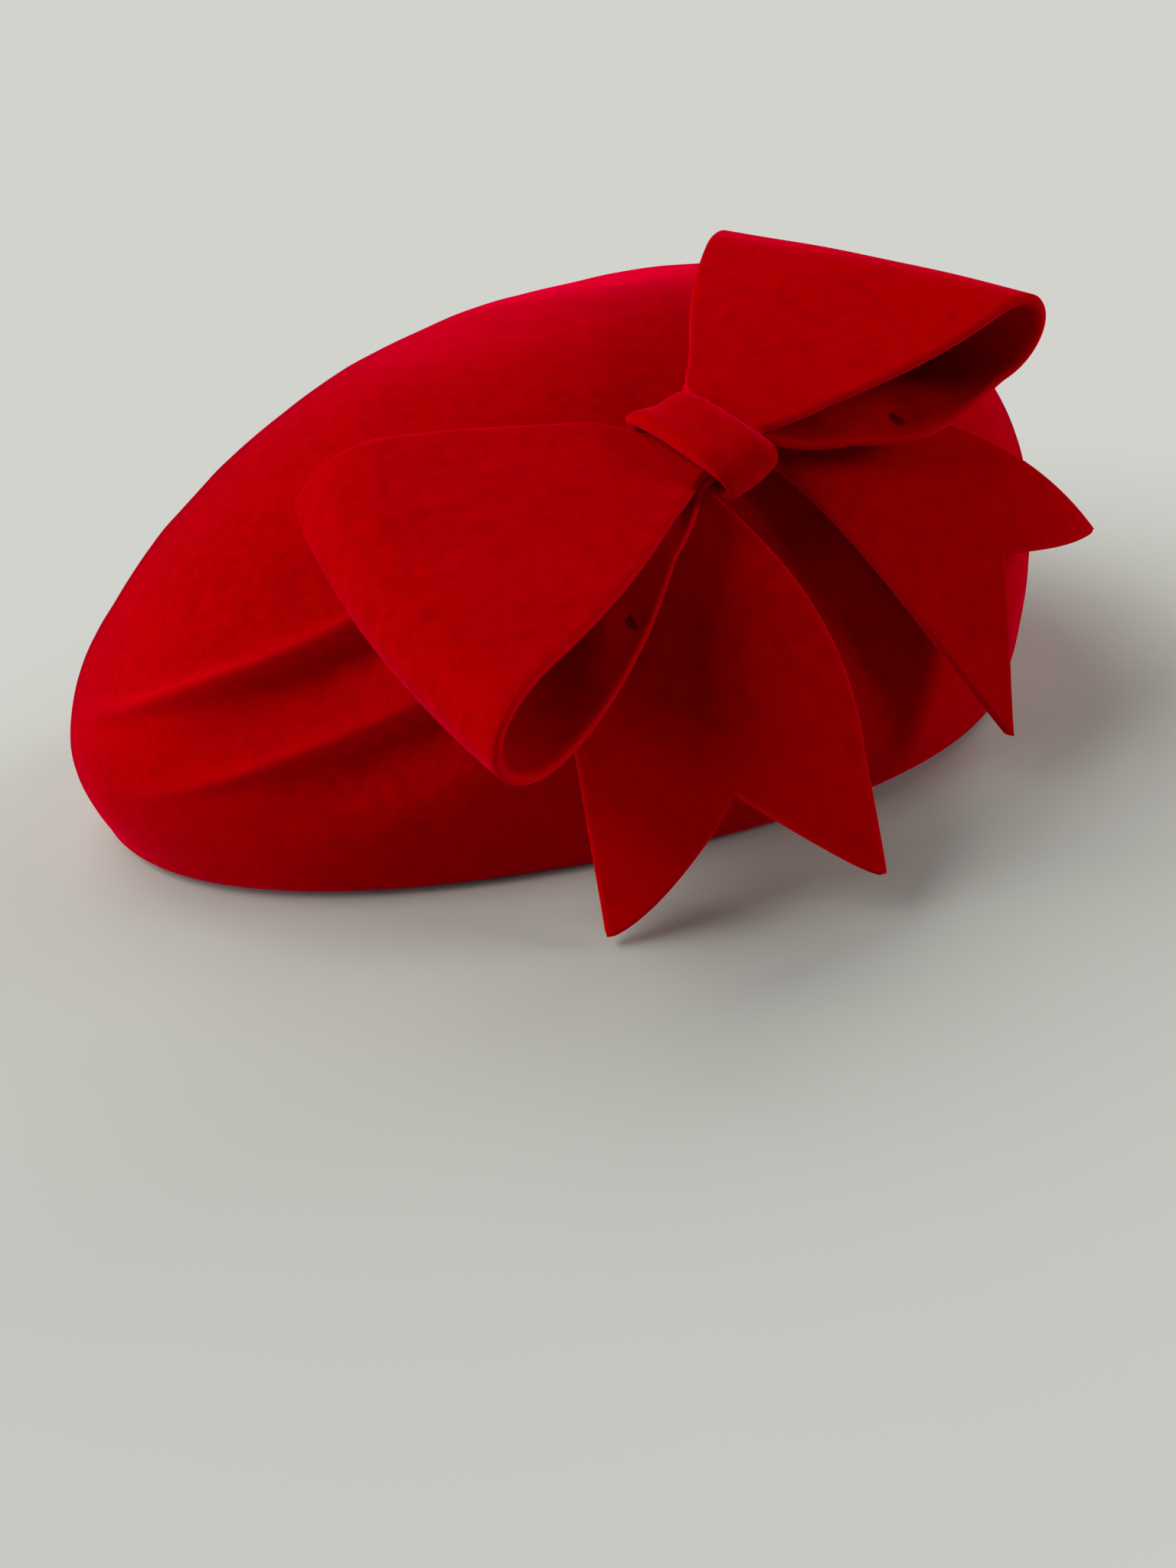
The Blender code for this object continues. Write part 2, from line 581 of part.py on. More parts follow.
def knot_sheet():
    # A rounded-square ring across the loops, swelling a little in the middle of its width.
    turn = np.linspace(0.0, 2.0 * math.pi, KNOT_STEPS, endpoint=False)
    place = np.linspace(-0.5, 0.5, KNOT_COLUMNS + 1)[:, None]
    swell = KNOT_SWELL * (1.0 - (2.0 * place) ** 2)
    half_length = 0.5 * (KNOT_LENGTH - BOW_FELT) - KNOT_SWELL + swell
    half_height = 0.5 * (KNOT_HEIGHT - BOW_FELT - KNOT_SWELL)
    c = np.cos(turn)
    s = np.sin(turn)
    ring = np.empty((KNOT_COLUMNS + 1, KNOT_STEPS, 3))
    ring[..., 1] = half_length * np.sign(c) * np.abs(c) ** (2.0 / KNOT_POWER)
    spread = np.clip(-2.0 * ring[..., 1] / KNOT_LENGTH, 0.0, 1.0) ** 2
    ring[..., 0] = KNOT_WIDTH * place - KNOT_FLARE * np.clip(-2.0 * place, 0.0, 1.0) * spread
    rise = np.sign(s) * np.abs(s) ** (2.0 / KNOT_POWER)
    ring[..., 2] = half_height * rise + np.where(rise > 0.0, swell * rise, 0.0)
    return np.array(KNOT_CENTRE) + ring @ knot_axes()


# Blender objects


def finish(piece, colour, roughness, metallic=0.0):
    material = bpy.data.materials.new(piece.name)
    material.use_nodes = True
    shader = material.node_tree.nodes["Principled BSDF"]
    shader.inputs["Base Color"].default_value = (*colour, 1.0)
    shader.inputs["Roughness"].default_value = roughness
    shader.inputs["Metallic"].default_value = metallic
    piece.data.materials.append(material)


def add_object(name, data, parent=None):
    piece = bpy.data.objects.new(name, data)
    bpy.context.scene.collection.objects.link(piece)
    piece.parent = parent
    return piece


def sheet_faces(rows, columns, closed):
    faces = []
    for row in range(rows - 1):
        for column in range(columns if closed else columns - 1):
            beside = (column + 1) % columns
            low = row * columns
            faces.append((low + column, low + columns + column, low + columns + beside, low + beside))
    return faces


def felt_object(name, sheet, thickness, offset=0.0, closed=False, top=None, parent=None):
    # A sheet of points becomes a closed piece of felt by thickening it.
    rows, columns = sheet.shape[:2]
    points = sheet.reshape(-1, 3).tolist()
    faces = sheet_faces(rows, columns, closed)
    if top is not None:
        points.append(top.tolist())
        faces += [(len(points) - 1, step, (step + 1) % columns) for step in range(columns)]
    mesh = bpy.data.meshes.new(name)
    mesh.from_pydata(points, [], faces)
    mesh.validate()
    mesh.shade_smooth()
    piece = add_object(name, mesh, parent)
    felt = piece.modifiers.new("felt", "SOLIDIFY")
    felt.thickness = thickness
    felt.offset = offset
    felt.use_even_offset = True
    felt.use_rim = True
    return piece


def thread_object(name, points, radius, cyclic=False, parent=None):
    curve = bpy.data.curves.new(name, "CURVE")
    curve.dimensions = "3D"
    curve.bevel_depth = radius
    curve.bevel_resolution = 1
    curve.use_fill_caps = not cyclic
    spline = curve.splines.new("POLY")
    spline.points.add(len(points) - 1)
    for target, place in zip(spline.points, points):
        target.co = (*place, 1.0)
    spline.use_cyclic_u = cyclic
    return add_object(name, curve, parent)


def stitch_points(middle, direction, out, length):
    # A short bar of thread that arches a little off the felt.
    share = np.linspace(-0.5, 0.5, 7)[:, None]
    return middle + length * share * direction + 0.5 * THREAD_RADIUS * (1.0 - (2.0 * share) ** 2) * out


# Building the pieces

FELT_RED = (0.35, 0.002, 0.004)
THREAD_RED = (0.22, 0.002, 0.004)
RIBBON_RED = (0.16, 0.002, 0.004)
STEEL = (0.45, 0.45, 0.45)


def build_crown():
    top, skin = crown_skin()
    crown = felt_object("crown", skin, CROWN_FELT, offset=-1.0, closed=True, top=top)
    finish(crown, FELT_RED, 0.95)


def build_rim_wire():
    angle = np.linspace(0.0, 2.0 * math.pi, WIRE_STEPS, endpoint=False)
    seat = CROWN_FELT + CLEARANCE + WIRE_RADIUS
    x, y = rim_outline(angle, RIM_TURN_IN + RIM_RADIUS + WIRE_RADIUS)
    points = np.stack((x, y, np.full(WIRE_STEPS, seat)), axis=-1)
    wire = thread_object("rim_wire", points, WIRE_RADIUS, cyclic=True)
    finish(wire, STEEL, 0.4, 1.0)


def build_sweatband():
    # The ribbon runs once round the opening from the back, and its end laps inside its start.
    share = np.linspace(0.0, 1.0, RIBBON_STEPS + 1)
    lap = RIBBON_LAP / (CROWN_HALF_WIDTH - HEM_WIDTH)
    angle = 0.5 * math.pi - 0.5 * lap + share * (2.0 * math.pi + lap)
    near_end = np.clip((share - 1.0) * (2.0 * math.pi + lap) / lap + 2.0, 0.0, 1.0)
    step_in = (RIBBON_THICKNESS + CLEARANCE) * near_end**2 * (3.0 - 2.0 * near_end)
    inset = HEM_WIDTH + CLEARANCE + 0.5 * RIBBON_THICKNESS + step_in
    x, y = rim_outline(angle, inset)
    heights = RIBBON_LIFT + RIBBON_WIDTH * np.array([0.0, 0.5, 1.0])
    sheet = np.empty((len(heights), RIBBON_STEPS + 1, 3))
    sheet[..., 0] = x
    sheet[..., 1] = y
    sheet[..., 2] = heights[:, None]
    ribbon = felt_object("sweatband", sheet, RIBBON_THICKNESS)
    finish(ribbon, RIBBON_RED, 0.8)


def build_bow():
    seat = add_object("bow_seat", None)
    axes = Matrix(BOW_AXES.tolist()).transposed().to_4x4()
    seat.matrix_world = Matrix.Translation(BOW_SEAT.tolist()) @ axes
    for tail in (LEFT_TAIL, RIGHT_TAIL):
        finish(felt_object(tail["name"], tail_sheet(tail), BOW_FELT, parent=seat), FELT_RED, 0.95)
    for loop in (LEFT_LOOP, RIGHT_LOOP):
        finish(felt_object(loop["name"], loop_sheet(loop), BOW_FELT, parent=seat), FELT_RED, 0.95)
    knot = felt_object("bow_knot", knot_sheet(), BOW_FELT, closed=True, parent=seat)
    finish(knot, FELT_RED, 0.95)
    build_tacks(seat)


def build_tacks(seat):
    # One tack holds the back layer of each loop, and two stitches inside the crown hold the knot.
    for loop in (LEFT_LOOP, RIGHT_LOOP):
        path = 3.0 - loop["tack_reach"] / (loop["length"] - loop["fold"])
        paths = path + np.array([0.0, 0.02, 0.0])
        side = loop["tack_offset"] / (0.5 * loop_width(loop, loop["tack_reach"]))
        sides = side + np.array([0.0, 0.0, 0.02])
        here, onward, sideways = loop_surface(loop, paths, sides)
        out = unit(np.cross(onward - here, sideways - here))
        out = out * np.sign(out[2])
        middle = here + (0.5 * BOW_FELT + STITCH_CLEARANCE + THREAD_RADIUS) * out
        points = stitch_points(middle, unit(sideways - here), out, TACK_LENGTH)
        finish(thread_object(loop["tack"], points, THREAD_RADIUS, parent=seat), THREAD_RED, 0.7)
    depth = CROWN_FELT + STITCH_CLEARANCE + THREAD_RADIUS
    for hand, name in ((-0.5, "knot_stitch_left"), (0.5, "knot_stitch_right")):
        middle = np.array([KNOT_CENTRE[0] + hand * STITCH_SPACING, 0.0, -depth])
        inward = np.array([0.0, 0.0, -1.0])
        points = stitch_points(middle, np.array([0.0, 1.0, 0.0]), inward, STITCH_LENGTH)
        finish(thread_object(name, points, THREAD_RADIUS, parent=seat), THREAD_RED, 0.7)


clear_scene()
build_crown()
build_rim_wire()
build_sweatband()
build_bow()
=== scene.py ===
# Red wool felt beret with a sewn felt bow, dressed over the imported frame.
# Metres, +Z up, and the rim rests on Z = 0. The bow is worked out flat in its own frame:
# t runs along the loops, s towards the tails and n off the crown.

import math

import bpy
import numpy as np
from mathutils import Matrix


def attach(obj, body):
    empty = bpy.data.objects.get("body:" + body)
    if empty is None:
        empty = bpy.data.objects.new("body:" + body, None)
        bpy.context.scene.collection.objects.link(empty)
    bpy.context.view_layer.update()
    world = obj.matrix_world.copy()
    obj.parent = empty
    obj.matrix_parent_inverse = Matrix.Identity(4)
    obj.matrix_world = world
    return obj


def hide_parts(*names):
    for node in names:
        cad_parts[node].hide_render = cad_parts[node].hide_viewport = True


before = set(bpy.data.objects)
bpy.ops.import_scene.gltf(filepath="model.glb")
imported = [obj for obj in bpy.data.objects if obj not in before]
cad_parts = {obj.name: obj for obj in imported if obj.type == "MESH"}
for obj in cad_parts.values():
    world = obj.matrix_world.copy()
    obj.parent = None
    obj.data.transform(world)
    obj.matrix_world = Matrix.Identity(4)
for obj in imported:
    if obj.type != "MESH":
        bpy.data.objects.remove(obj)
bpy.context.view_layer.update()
scene = bpy.context.scene
mm = 0.001
print("frame loaded:", len(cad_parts), "nodes")


# Small helpers

def srgb(hexText):
    # each channel of the hex colour goes through the sRGB curve to linear
    channels = [int(hexText[place:place + 2], 16) / 255 for place in (1, 3, 5)]
    linear = [c / 12.92 if c <= 0.04045 else ((c + 0.055) / 1.055) ** 2.4 for c in channels]
    return (*linear, 1.0)


def addNode(owner, kind, inputs=None, **settings):
    # a node of a material or a world; an input given as a socket is linked, and any other is set
    made = owner.node_tree.nodes.new(kind)
    for name, value in settings.items():
        setattr(made, name, value)
    for name, value in (inputs or {}).items():
        if isinstance(value, bpy.types.NodeSocket):
            owner.node_tree.links.new(value, made.inputs[name])
        else:
            made.inputs[name].default_value = value
    return made


def newMaterial(name):
    # an empty material, and the object coordinates that its patterns read
    material = bpy.data.materials.new(name)
    material.use_nodes = True
    material.node_tree.nodes.clear()
    return material, addNode(material, "ShaderNodeTexCoord").outputs["Object"]


def unit(vectors):
    # each vector divided by its own length
    return vectors / np.linalg.norm(vectors, axis=-1, keepdims=True)


def pointing(bearing, height):
    # unit vector at a bearing from the front, which is -Y, and a height angle, both in degrees
    around, up = math.radians(bearing), math.radians(height)
    return np.array([math.sin(around) * math.cos(up), -math.cos(around) * math.cos(up), math.sin(up)])


def rounded(wave, power):
    # a cosine or sine bent to a superellipse: its sign, times its size to 2 over the power
    return np.sign(wave) * np.abs(wave) ** (2.0 / power)


def clamp(x):
    # x held between 0 and 1
    return np.clip(x, 0.0, 1.0)


def softMax(a, b, blend):
    # the larger of two heights, rounded where they cross
    return 0.5 * (a + b + np.sqrt((a - b) ** 2 + blend ** 2))


def smoothStep(x):
    # an S from 0 to 1: x squared times 3 less 2x
    x = clamp(x)
    return x * x * (3.0 - 2.0 * x)


handWaves = {"count": 8, "shortest": 0.7, "longest": 1.4, "usualPeak": 3.0}


def unevenness(points, sizeMm, heightMm, seed):
    # plane waves of about the given size, in random directions, added up to about the given height
    draw = np.random.default_rng(seed)
    count = handWaves["count"]
    directions = unit(draw.normal(size=(count, 3)))
    phases = draw.uniform(0.0, math.tau, count)
    lengths = sizeMm * mm * draw.uniform(handWaves["shortest"], handWaves["longest"], count)
    waves = np.sin(math.tau * (points @ directions.T) / lengths + phases)
    return heightMm * mm * waves.sum(axis=-1) / handWaves["usualPeak"]


def gridFaces(rows, columns, closed, first=0, flip=False):
    # a quad between each point and its neighbours down and across
    r = np.arange(rows - 1)[:, None]
    c = np.arange(columns if closed else columns - 1)[None, :]
    n = (c + 1) % columns
    corners = (r * columns + c, (r + 1) * columns + c, (r + 1) * columns + n, r * columns + n)
    quads = np.stack(np.broadcast_arrays(*corners), axis=-1).reshape(-1, 4) + first
    return quads[:, ::-1] if flip else quads


def fanFaces(hub, ring, flip=False):
    # a triangle from the hub to each step of a closed ring
    ahead = np.roll(ring, -1)
    pair = (ahead, ring) if flip else (ring, ahead)
    return np.stack((np.full(len(ring), hub), *pair), axis=-1).tolist()


def sheetNormals(sheet, closed):
    # cross product of the steps down and across the grid
    down = np.gradient(sheet, axis=0)
    if closed:
        across = np.roll(sheet, -1, axis=1) - np.roll(sheet, 1, axis=1)
    else:
        across = np.gradient(sheet, axis=1)
    return unit(np.cross(down, across))


# shares of the thickness, of the half turn round a cut edge, and of the painted highlight that the edge
# puts on the face beside it
feltEdge = {"bulge": 0.32, "rows": (0.25, 0.5, 0.75), "blend": 0.45}


def feltSolid(sheet, thickness, closed=False):
    # the sheet is thickened along its normals, and its cut edges bulge out in half a wave
    rows, columns = sheet.shape[:2]
    normal = sheetNormals(sheet, closed)
    half = 0.5 * thickness
    turn = math.pi * np.array(feltEdge["rows"])[:, None, None]
    index = np.arange(rows * columns).reshape(rows, columns)
    if closed:
        rims = [index[0, ::-1], index[-1]]
    else:
        rims = [np.concatenate((index[:-1, 0], index[-1, :-1], index[:0:-1, -1], index[0, :0:-1]))]
    flatSheet = sheet.reshape(-1, 3)
    flatNormal = normal.reshape(-1, 3)
    points = [flatSheet + half * flatNormal, flatSheet - half * flatNormal]
    paintedLightMask = [np.zeros(rows * columns), np.zeros(rows * columns)]
    faces = [
        gridFaces(rows, columns, closed),
        gridFaces(rows, columns, closed, rows * columns, flip=True),
    ]
    first = 2 * rows * columns
    for rim in rims:
        # painted highlight: the rim rows of both faces take part of the edge's lighter red, and the edge
        # itself takes all of it
        paintedLightMask[0][rim] = feltEdge["blend"]
        paintedLightMask[1][rim] = feltEdge["blend"]
        edge = flatSheet[rim]
        along = unit(np.roll(edge, -1, axis=0) - np.roll(edge, 1, axis=0))
        outward = unit(np.cross(along, flatNormal[rim]))
        wall = edge + half * np.cos(turn) * flatNormal[rim]
        wall = wall + feltEdge["bulge"] * thickness * np.sin(turn) * outward
        rings = [rim] + [first + k * len(rim) + np.arange(len(rim)) for k in range(len(turn))]
        rings.append(rim + rows * columns)
        for upper, lower in zip(rings[:-1], rings[1:]):
            ahead = np.roll(upper, -1)
            faces.append(np.stack((ahead, upper, lower, np.roll(lower, -1)), axis=-1))
        points.append(wall.reshape(-1, 3))
        paintedLightMask.append(np.ones(len(turn) * len(rim)))
        first += len(turn) * len(rim)
    return np.concatenate(points), np.concatenate(faces).tolist(), np.concatenate(paintedLightMask)


def addPiece(name, points, faces, material, nodes, paintedLightMask=None):
    # a smooth mesh with its place in its points; the mask given marks painted light: a painted highlight on
    # cut edges and tuck crests, and painted shade in the ribbon's grooves
    mesh = bpy.data.meshes.new(name)
    mesh.from_pydata(points.tolist(), [], faces)
    mesh.polygons.foreach_set("use_smooth", np.ones(len(mesh.polygons), dtype=bool))
    if paintedLightMask is not None:
        mesh.attributes.new("paintedLightMask", "FLOAT", "POINT").data.foreach_set("value", paintedLightMask.astype(np.float32))
    mesh.materials.append(material)
    mesh.update()
    piece = bpy.data.objects.new(name, mesh)
    scene.collection.objects.link(piece)
    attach(piece, "root")
    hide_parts(*nodes)
    return piece


# Finishes

feltLook = {
    "mid": "#B00001",
    "deep": "#9E0001",
    "nap": "#C40004",
    # painted highlight: the lighter red that cut edges and tuck crests are drawn in
    "paintedHighlight": "#CC000A",
    "pitMm": 2.6,
    "cloudMm": 24.0,
    "fibreMm": 0.9,  # real wool fibres are finer; drawn this coarse so that they show
    "bumpMm": 0.12,
    "roughness": 0.95,
    "sheen": 0.85,
    "sheenRoughness": 0.32,
    "sheenTint": "#FF0040",
}


def woolFelt(name, look):
    # Brushed wool felt: matted fibres and small pits give a dull, even red with no shine of its own,
    # and the standing nap lights up crimson at grazing angles. Cut edges and tuck crests get a painted
    # highlight in a brighter red.
    material, place = newMaterial(name)
    pits = addNode(material, "ShaderNodeTexNoise", {
        "Vector": place, "Scale": 1.0 / (look["pitMm"] * mm), "Detail": 3.0, "Roughness": 0.55})
    cloud = addNode(material, "ShaderNodeTexNoise", {
        "Vector": place, "Scale": 1.0 / (look["cloudMm"] * mm), "Detail": 2.0, "Roughness": 0.5})
    fibre = addNode(material, "ShaderNodeTexNoise", {
        "Vector": place, "Scale": 1.0 / (look["fibreMm"] * mm), "Detail": 4.0,
        "Roughness": 0.7, "Distortion": 1.6})
    patch = addNode(material, "ShaderNodeMix", {
        0: 0.35, 2: pits.outputs["Fac"], 3: cloud.outputs["Fac"]})
    patchShare = addNode(material, "ShaderNodeMapRange", {
        "Value": patch.outputs[0], "From Min": 0.32, "From Max": 0.56})
    body = addNode(material, "ShaderNodeMix", {
        0: patchShare.outputs[0], 6: srgb(look["deep"]), 7: srgb(look["mid"])}, data_type="RGBA")
    napShare = addNode(material, "ShaderNodeMapRange", {
        "Value": fibre.outputs["Fac"], "From Min": 0.5, "From Max": 0.8, "To Max": 0.5})
    napped = addNode(material, "ShaderNodeMix", {
        0: napShare.outputs[0], 6: body.outputs[2], 7: srgb(look["nap"])}, data_type="RGBA")
    # painted highlight: this mask lightens cut edges and tuck crests towards the lighter red
    paintedHighlightMark = addNode(material, "ShaderNodeAttribute", attribute_name="paintedLightMask")
    paintedHighlightShare = addNode(material, "ShaderNodeMath", {
        0: paintedHighlightMark.outputs["Fac"], 1: 0.6}, operation="MULTIPLY")
    colour = addNode(material, "ShaderNodeMix", {
        0: paintedHighlightShare.outputs[0], 6: napped.outputs[2], 7: srgb(look["paintedHighlight"])}, data_type="RGBA")
    nap = addNode(material, "ShaderNodeBump", {
        "Strength": 0.6, "Distance": look["bumpMm"] * mm, "Height": fibre.outputs["Fac"]})
    shader = addNode(material, "ShaderNodeBsdfPrincipled", {
        "Base Color": colour.outputs[2], "Normal": nap.outputs[0],
        "Roughness": look["roughness"], "Specular IOR Level": 0.0,
        "Sheen Weight": look["sheen"], "Sheen Roughness": look["sheenRoughness"],
        "Sheen Tint": srgb(look["sheenTint"])})
    addNode(material, "ShaderNodeOutputMaterial", {"Surface": shader.outputs[0]})
    return material


# the deep colour is painted shade for the grooves between the ribs
ribbonLook = {"mid": "#7C0610", "deep": "#52030A", "threadMm": 0.35, "bumpMm": 0.05, "roughness": 0.62}


def petershamRibbon(name, look):
    # Rayon petersham: close-woven and slightly glossy on its ribs, with painted shade darkening the grooves
    # between them.
    material, place = newMaterial(name)
    weave = addNode(material, "ShaderNodeTexNoise", {
        "Vector": place, "Scale": 1.0 / (look["threadMm"] * mm), "Detail": 2.0})
    paintedGrooveShade = addNode(material, "ShaderNodeAttribute", attribute_name="paintedLightMask")
    share = addNode(material, "ShaderNodeMath", {
        0: paintedGrooveShade.outputs["Fac"], 1: weave.outputs["Fac"]}, operation="MULTIPLY")
    colour = addNode(material, "ShaderNodeMix", {
        0: share.outputs[0], 6: srgb(look["mid"]), 7: srgb(look["deep"])}, data_type="RGBA")
    bump = addNode(material, "ShaderNodeBump", {
        "Strength": 0.4, "Distance": look["bumpMm"] * mm, "Height": weave.outputs["Fac"]})
    shader = addNode(material, "ShaderNodeBsdfPrincipled", {
        "Base Color": colour.outputs[2], "Normal": bump.outputs[0], "Roughness": look["roughness"]})
    addNode(material, "ShaderNodeOutputMaterial", {"Surface": shader.outputs[0]})
    return material


threadLook = {"mid": "#8A0104", "deep": "#560102", "plyMm": 0.3, "bumpMm": 0.06, "roughness": 0.8}


def cottonThread(name, look):
    # Mercerised cotton: fine plies with a soft shine and dark lines between them.
    material, place = newMaterial(name)
    ply = addNode(material, "ShaderNodeTexNoise", {
        "Vector": place, "Scale": 1.0 / (look["plyMm"] * mm), "Detail": 3.0, "Distortion": 0.8})
    colour = addNode(material, "ShaderNodeMix", {
        0: ply.outputs["Fac"], 6: srgb(look["deep"]), 7: srgb(look["mid"])}, data_type="RGBA")
    bump = addNode(material, "ShaderNodeBump", {
        "Strength": 0.5, "Distance": look["bumpMm"] * mm, "Height": ply.outputs["Fac"]})
    shader = addNode(material, "ShaderNodeBsdfPrincipled", {
        "Base Color": colour.outputs[2], "Normal": bump.outputs[0], "Roughness": look["roughness"],
        "Specular IOR Level": 0.0})
    addNode(material, "ShaderNodeOutputMaterial", {"Surface": shader.outputs[0]})
    return material


wireLook = {"cotton": "#3A2A2C", "gap": "#120C0D", "wrapMm": 0.5, "bumpMm": 0.05, "roughness": 0.8}


def wrappedWire(name, look):
    # Steel millinery wire wrapped in dark cotton: dull, with fine turns of thread round it.
    material, place = newMaterial(name)
    turns = addNode(material, "ShaderNodeTexNoise", {
        "Vector": place, "Scale": 1.0 / (look["wrapMm"] * mm), "Detail": 2.0})
    colour = addNode(material, "ShaderNodeMix", {
        0: turns.outputs["Fac"], 6: srgb(look["gap"]), 7: srgb(look["cotton"])}, data_type="RGBA")
    bump = addNode(material, "ShaderNodeBump", {
        "Strength": 0.5, "Distance": look["bumpMm"] * mm, "Height": turns.outputs["Fac"]})
    shader = addNode(material, "ShaderNodeBsdfPrincipled", {
        "Base Color": colour.outputs[2], "Normal": bump.outputs[0], "Roughness": look["roughness"]})
    addNode(material, "ShaderNodeOutputMaterial", {"Surface": shader.outputs[0]})
    return material


crownFelt = woolFelt("brushedWoolFelt", feltLook)
bowFelt = woolFelt("stiffWoolFelt", {**feltLook, "pitMm": 3.2, "cloudMm": 30.0})
ribbonCloth = petershamRibbon("petershamRibbon", ribbonLook)
sewingThread = cottonThread("cottonThread", threadLook)
wireWrap = wrappedWire("wrappedWire", wireLook)
print("finishes made")


# Crown

crown = {
    "halfLength": 0.1147, "halfWidth": 0.0915, "height": 0.0958,
    "leanSide": 0.031, "leanBack": 0.010, "leanHeight": 0.025, "leanBlend": 0.006,
    "widestHeight": 0.0208, "outlinePower": 2.33, "sidePower": 2.33, "topPower": 1.75,
    "felt": 0.0022, "turnIn": 0.0025, "rimRadius": 0.005, "hemWidth": 0.019,
    "hemBulge": 0.25, "hemPaintedHighlight": 0.5, "probeMm": 0.05,
    "steps": (200, 140), "fineFrom": 184.0, "fineTo": 276.0, "domeRows": 190, "rowBias": 1.25,
    "wallRows": 11, "cornerRows": 12, "hemRows": 5, "innerStep": 6,
    "waveMm": 34.0, "waveHeightMm": 0.22, "napMm": 9.0, "napHeightMm": 0.05, "seeds": (5, 6),
}
tucks = {
    # for each crest: bearing from the front and height angle at its end far from the bow, the same at
    # its near end, the angle by which the far end lifts, all in degrees, and its strength
    "crests": ((-70.0, 10.2, -5.0, 40.2, 6.5, 1.0), (-55.0, 8.6, 0.0, 28.6, 2.0, 0.75)),
    "height": 0.0016, "shoulder": 0.013, "ridge": 0.0022, "ridgeWidth": 0.0032, "drop": 0.0022,
    # the first two here give the strength and width of a painted highlight along each crest
    "crestHighlight": 1.5, "crestHighlightWidth": 0.0019, "valley": 0.0034, "crease": 0.0062, "creaseWidth": 0.0068,
    "fadeIn": 0.5, "fadeOut": 0.25, "creaseFrom": 0.34, "creaseGrowth": 0.36,
}


def rimOutline(angle, inset):
    # superellipse at the widest line, moved in along its own normal by the inset
    c, s = np.cos(angle), np.sin(angle)
    power = crown["outlinePower"]
    x, y = rounded(c, power), rounded(s, power)
    nx = np.sign(c) * np.abs(x) ** (power - 1.0) / crown["halfLength"]
    ny = np.sign(s) * np.abs(y) ** (power - 1.0) / crown["halfWidth"]
    size = np.hypot(nx, ny)
    return crown["halfLength"] * x - inset * nx / size, crown["halfWidth"] * y - inset * ny / size


def leanShare(height):
    # about 0 at the rim, then a straight climb to 1 at the top, with a soft start
    over = (np.minimum(height, crown["height"]) - crown["leanHeight"]) / crown["leanBlend"]
    return crown["leanBlend"] * np.logaddexp(0.0, over) / (crown["height"] - crown["leanHeight"])


def domeValue(points):
    # below 0 inside the blocked shape: ring^side + climb^top = 1, leaning as it climbs
    rise = crown["height"] - crown["widestHeight"]
    climb = np.maximum((points[..., 2] - crown["widestHeight"]) / rise, 0.0)
    lean = leanShare(points[..., 2])
    u = np.abs(points[..., 0] - crown["leanSide"] * lean) / crown["halfLength"]
    v = np.abs(points[..., 1] - crown["leanBack"] * lean) / crown["halfWidth"]
    power = crown["outlinePower"]
    ring = (u ** power + v ** power) ** (1.0 / power)
    return ring ** crown["sidePower"] + climb ** crown["topPower"] - 1.0


def crownNormals(points):
    # the slope of the dome's value, from a small step to each side along each axis
    steps = crown["probeMm"] * mm * np.eye(3)
    return unit(np.stack([domeValue(points + d) - domeValue(points - d) for d in steps], axis=-1))


def tuckLift(points):
    # each tuck is a long swelling with a narrow ridge along its lower edge, then a steep drop and a crease;
    # the crease deepens towards the bow, which pulls the tucks in
    bearing = np.degrees(np.arctan2(points[..., 0], -points[..., 1]))
    flat = np.hypot(points[..., 0], points[..., 1])
    heightAngle = np.degrees(np.arctan2(points[..., 2], flat))
    radius = np.hypot(flat, points[..., 2])
    lift = np.zeros(points.shape[:-1])
    paintedCrestHighlight = np.zeros(points.shape[:-1])
    for start, startHeight, end, endHeight, bend, strength in tucks["crests"]:
        along = clamp((bearing - start) / (end - start))
        crest = startHeight + (endHeight - startHeight) * along + bend * (1.0 - along) ** 3
        across = radius * np.radians(heightAngle - crest)
        swelling = np.exp(-((across / np.where(across > 0.0, tucks["shoulder"], tucks["drop"])) ** 2))
        ridge = np.exp(-((across / np.where(across > 0.0, tucks["ridgeWidth"], tucks["drop"])) ** 2))
        crease = np.exp(-(((across + tucks["crease"]) / tucks["creaseWidth"]) ** 2))
        pulled = smoothStep((along - tucks["creaseFrom"]) / tucks["creaseGrowth"])
        fold = tucks["height"] * swelling + tucks["ridge"] * ridge - tucks["valley"] * pulled * crease
        fade = smoothStep(along / tucks["fadeIn"]) * smoothStep((1.0 - along) / tucks["fadeOut"])
        lift += strength * fade * fold
        # painted highlight: a narrow band along each crest, drawn in the lighter red
        paintedCrestHighlight += tucks["crestHighlight"] * strength * fade * np.exp(-((across / tucks["crestHighlightWidth"]) ** 2))
    return lift, paintedCrestHighlight


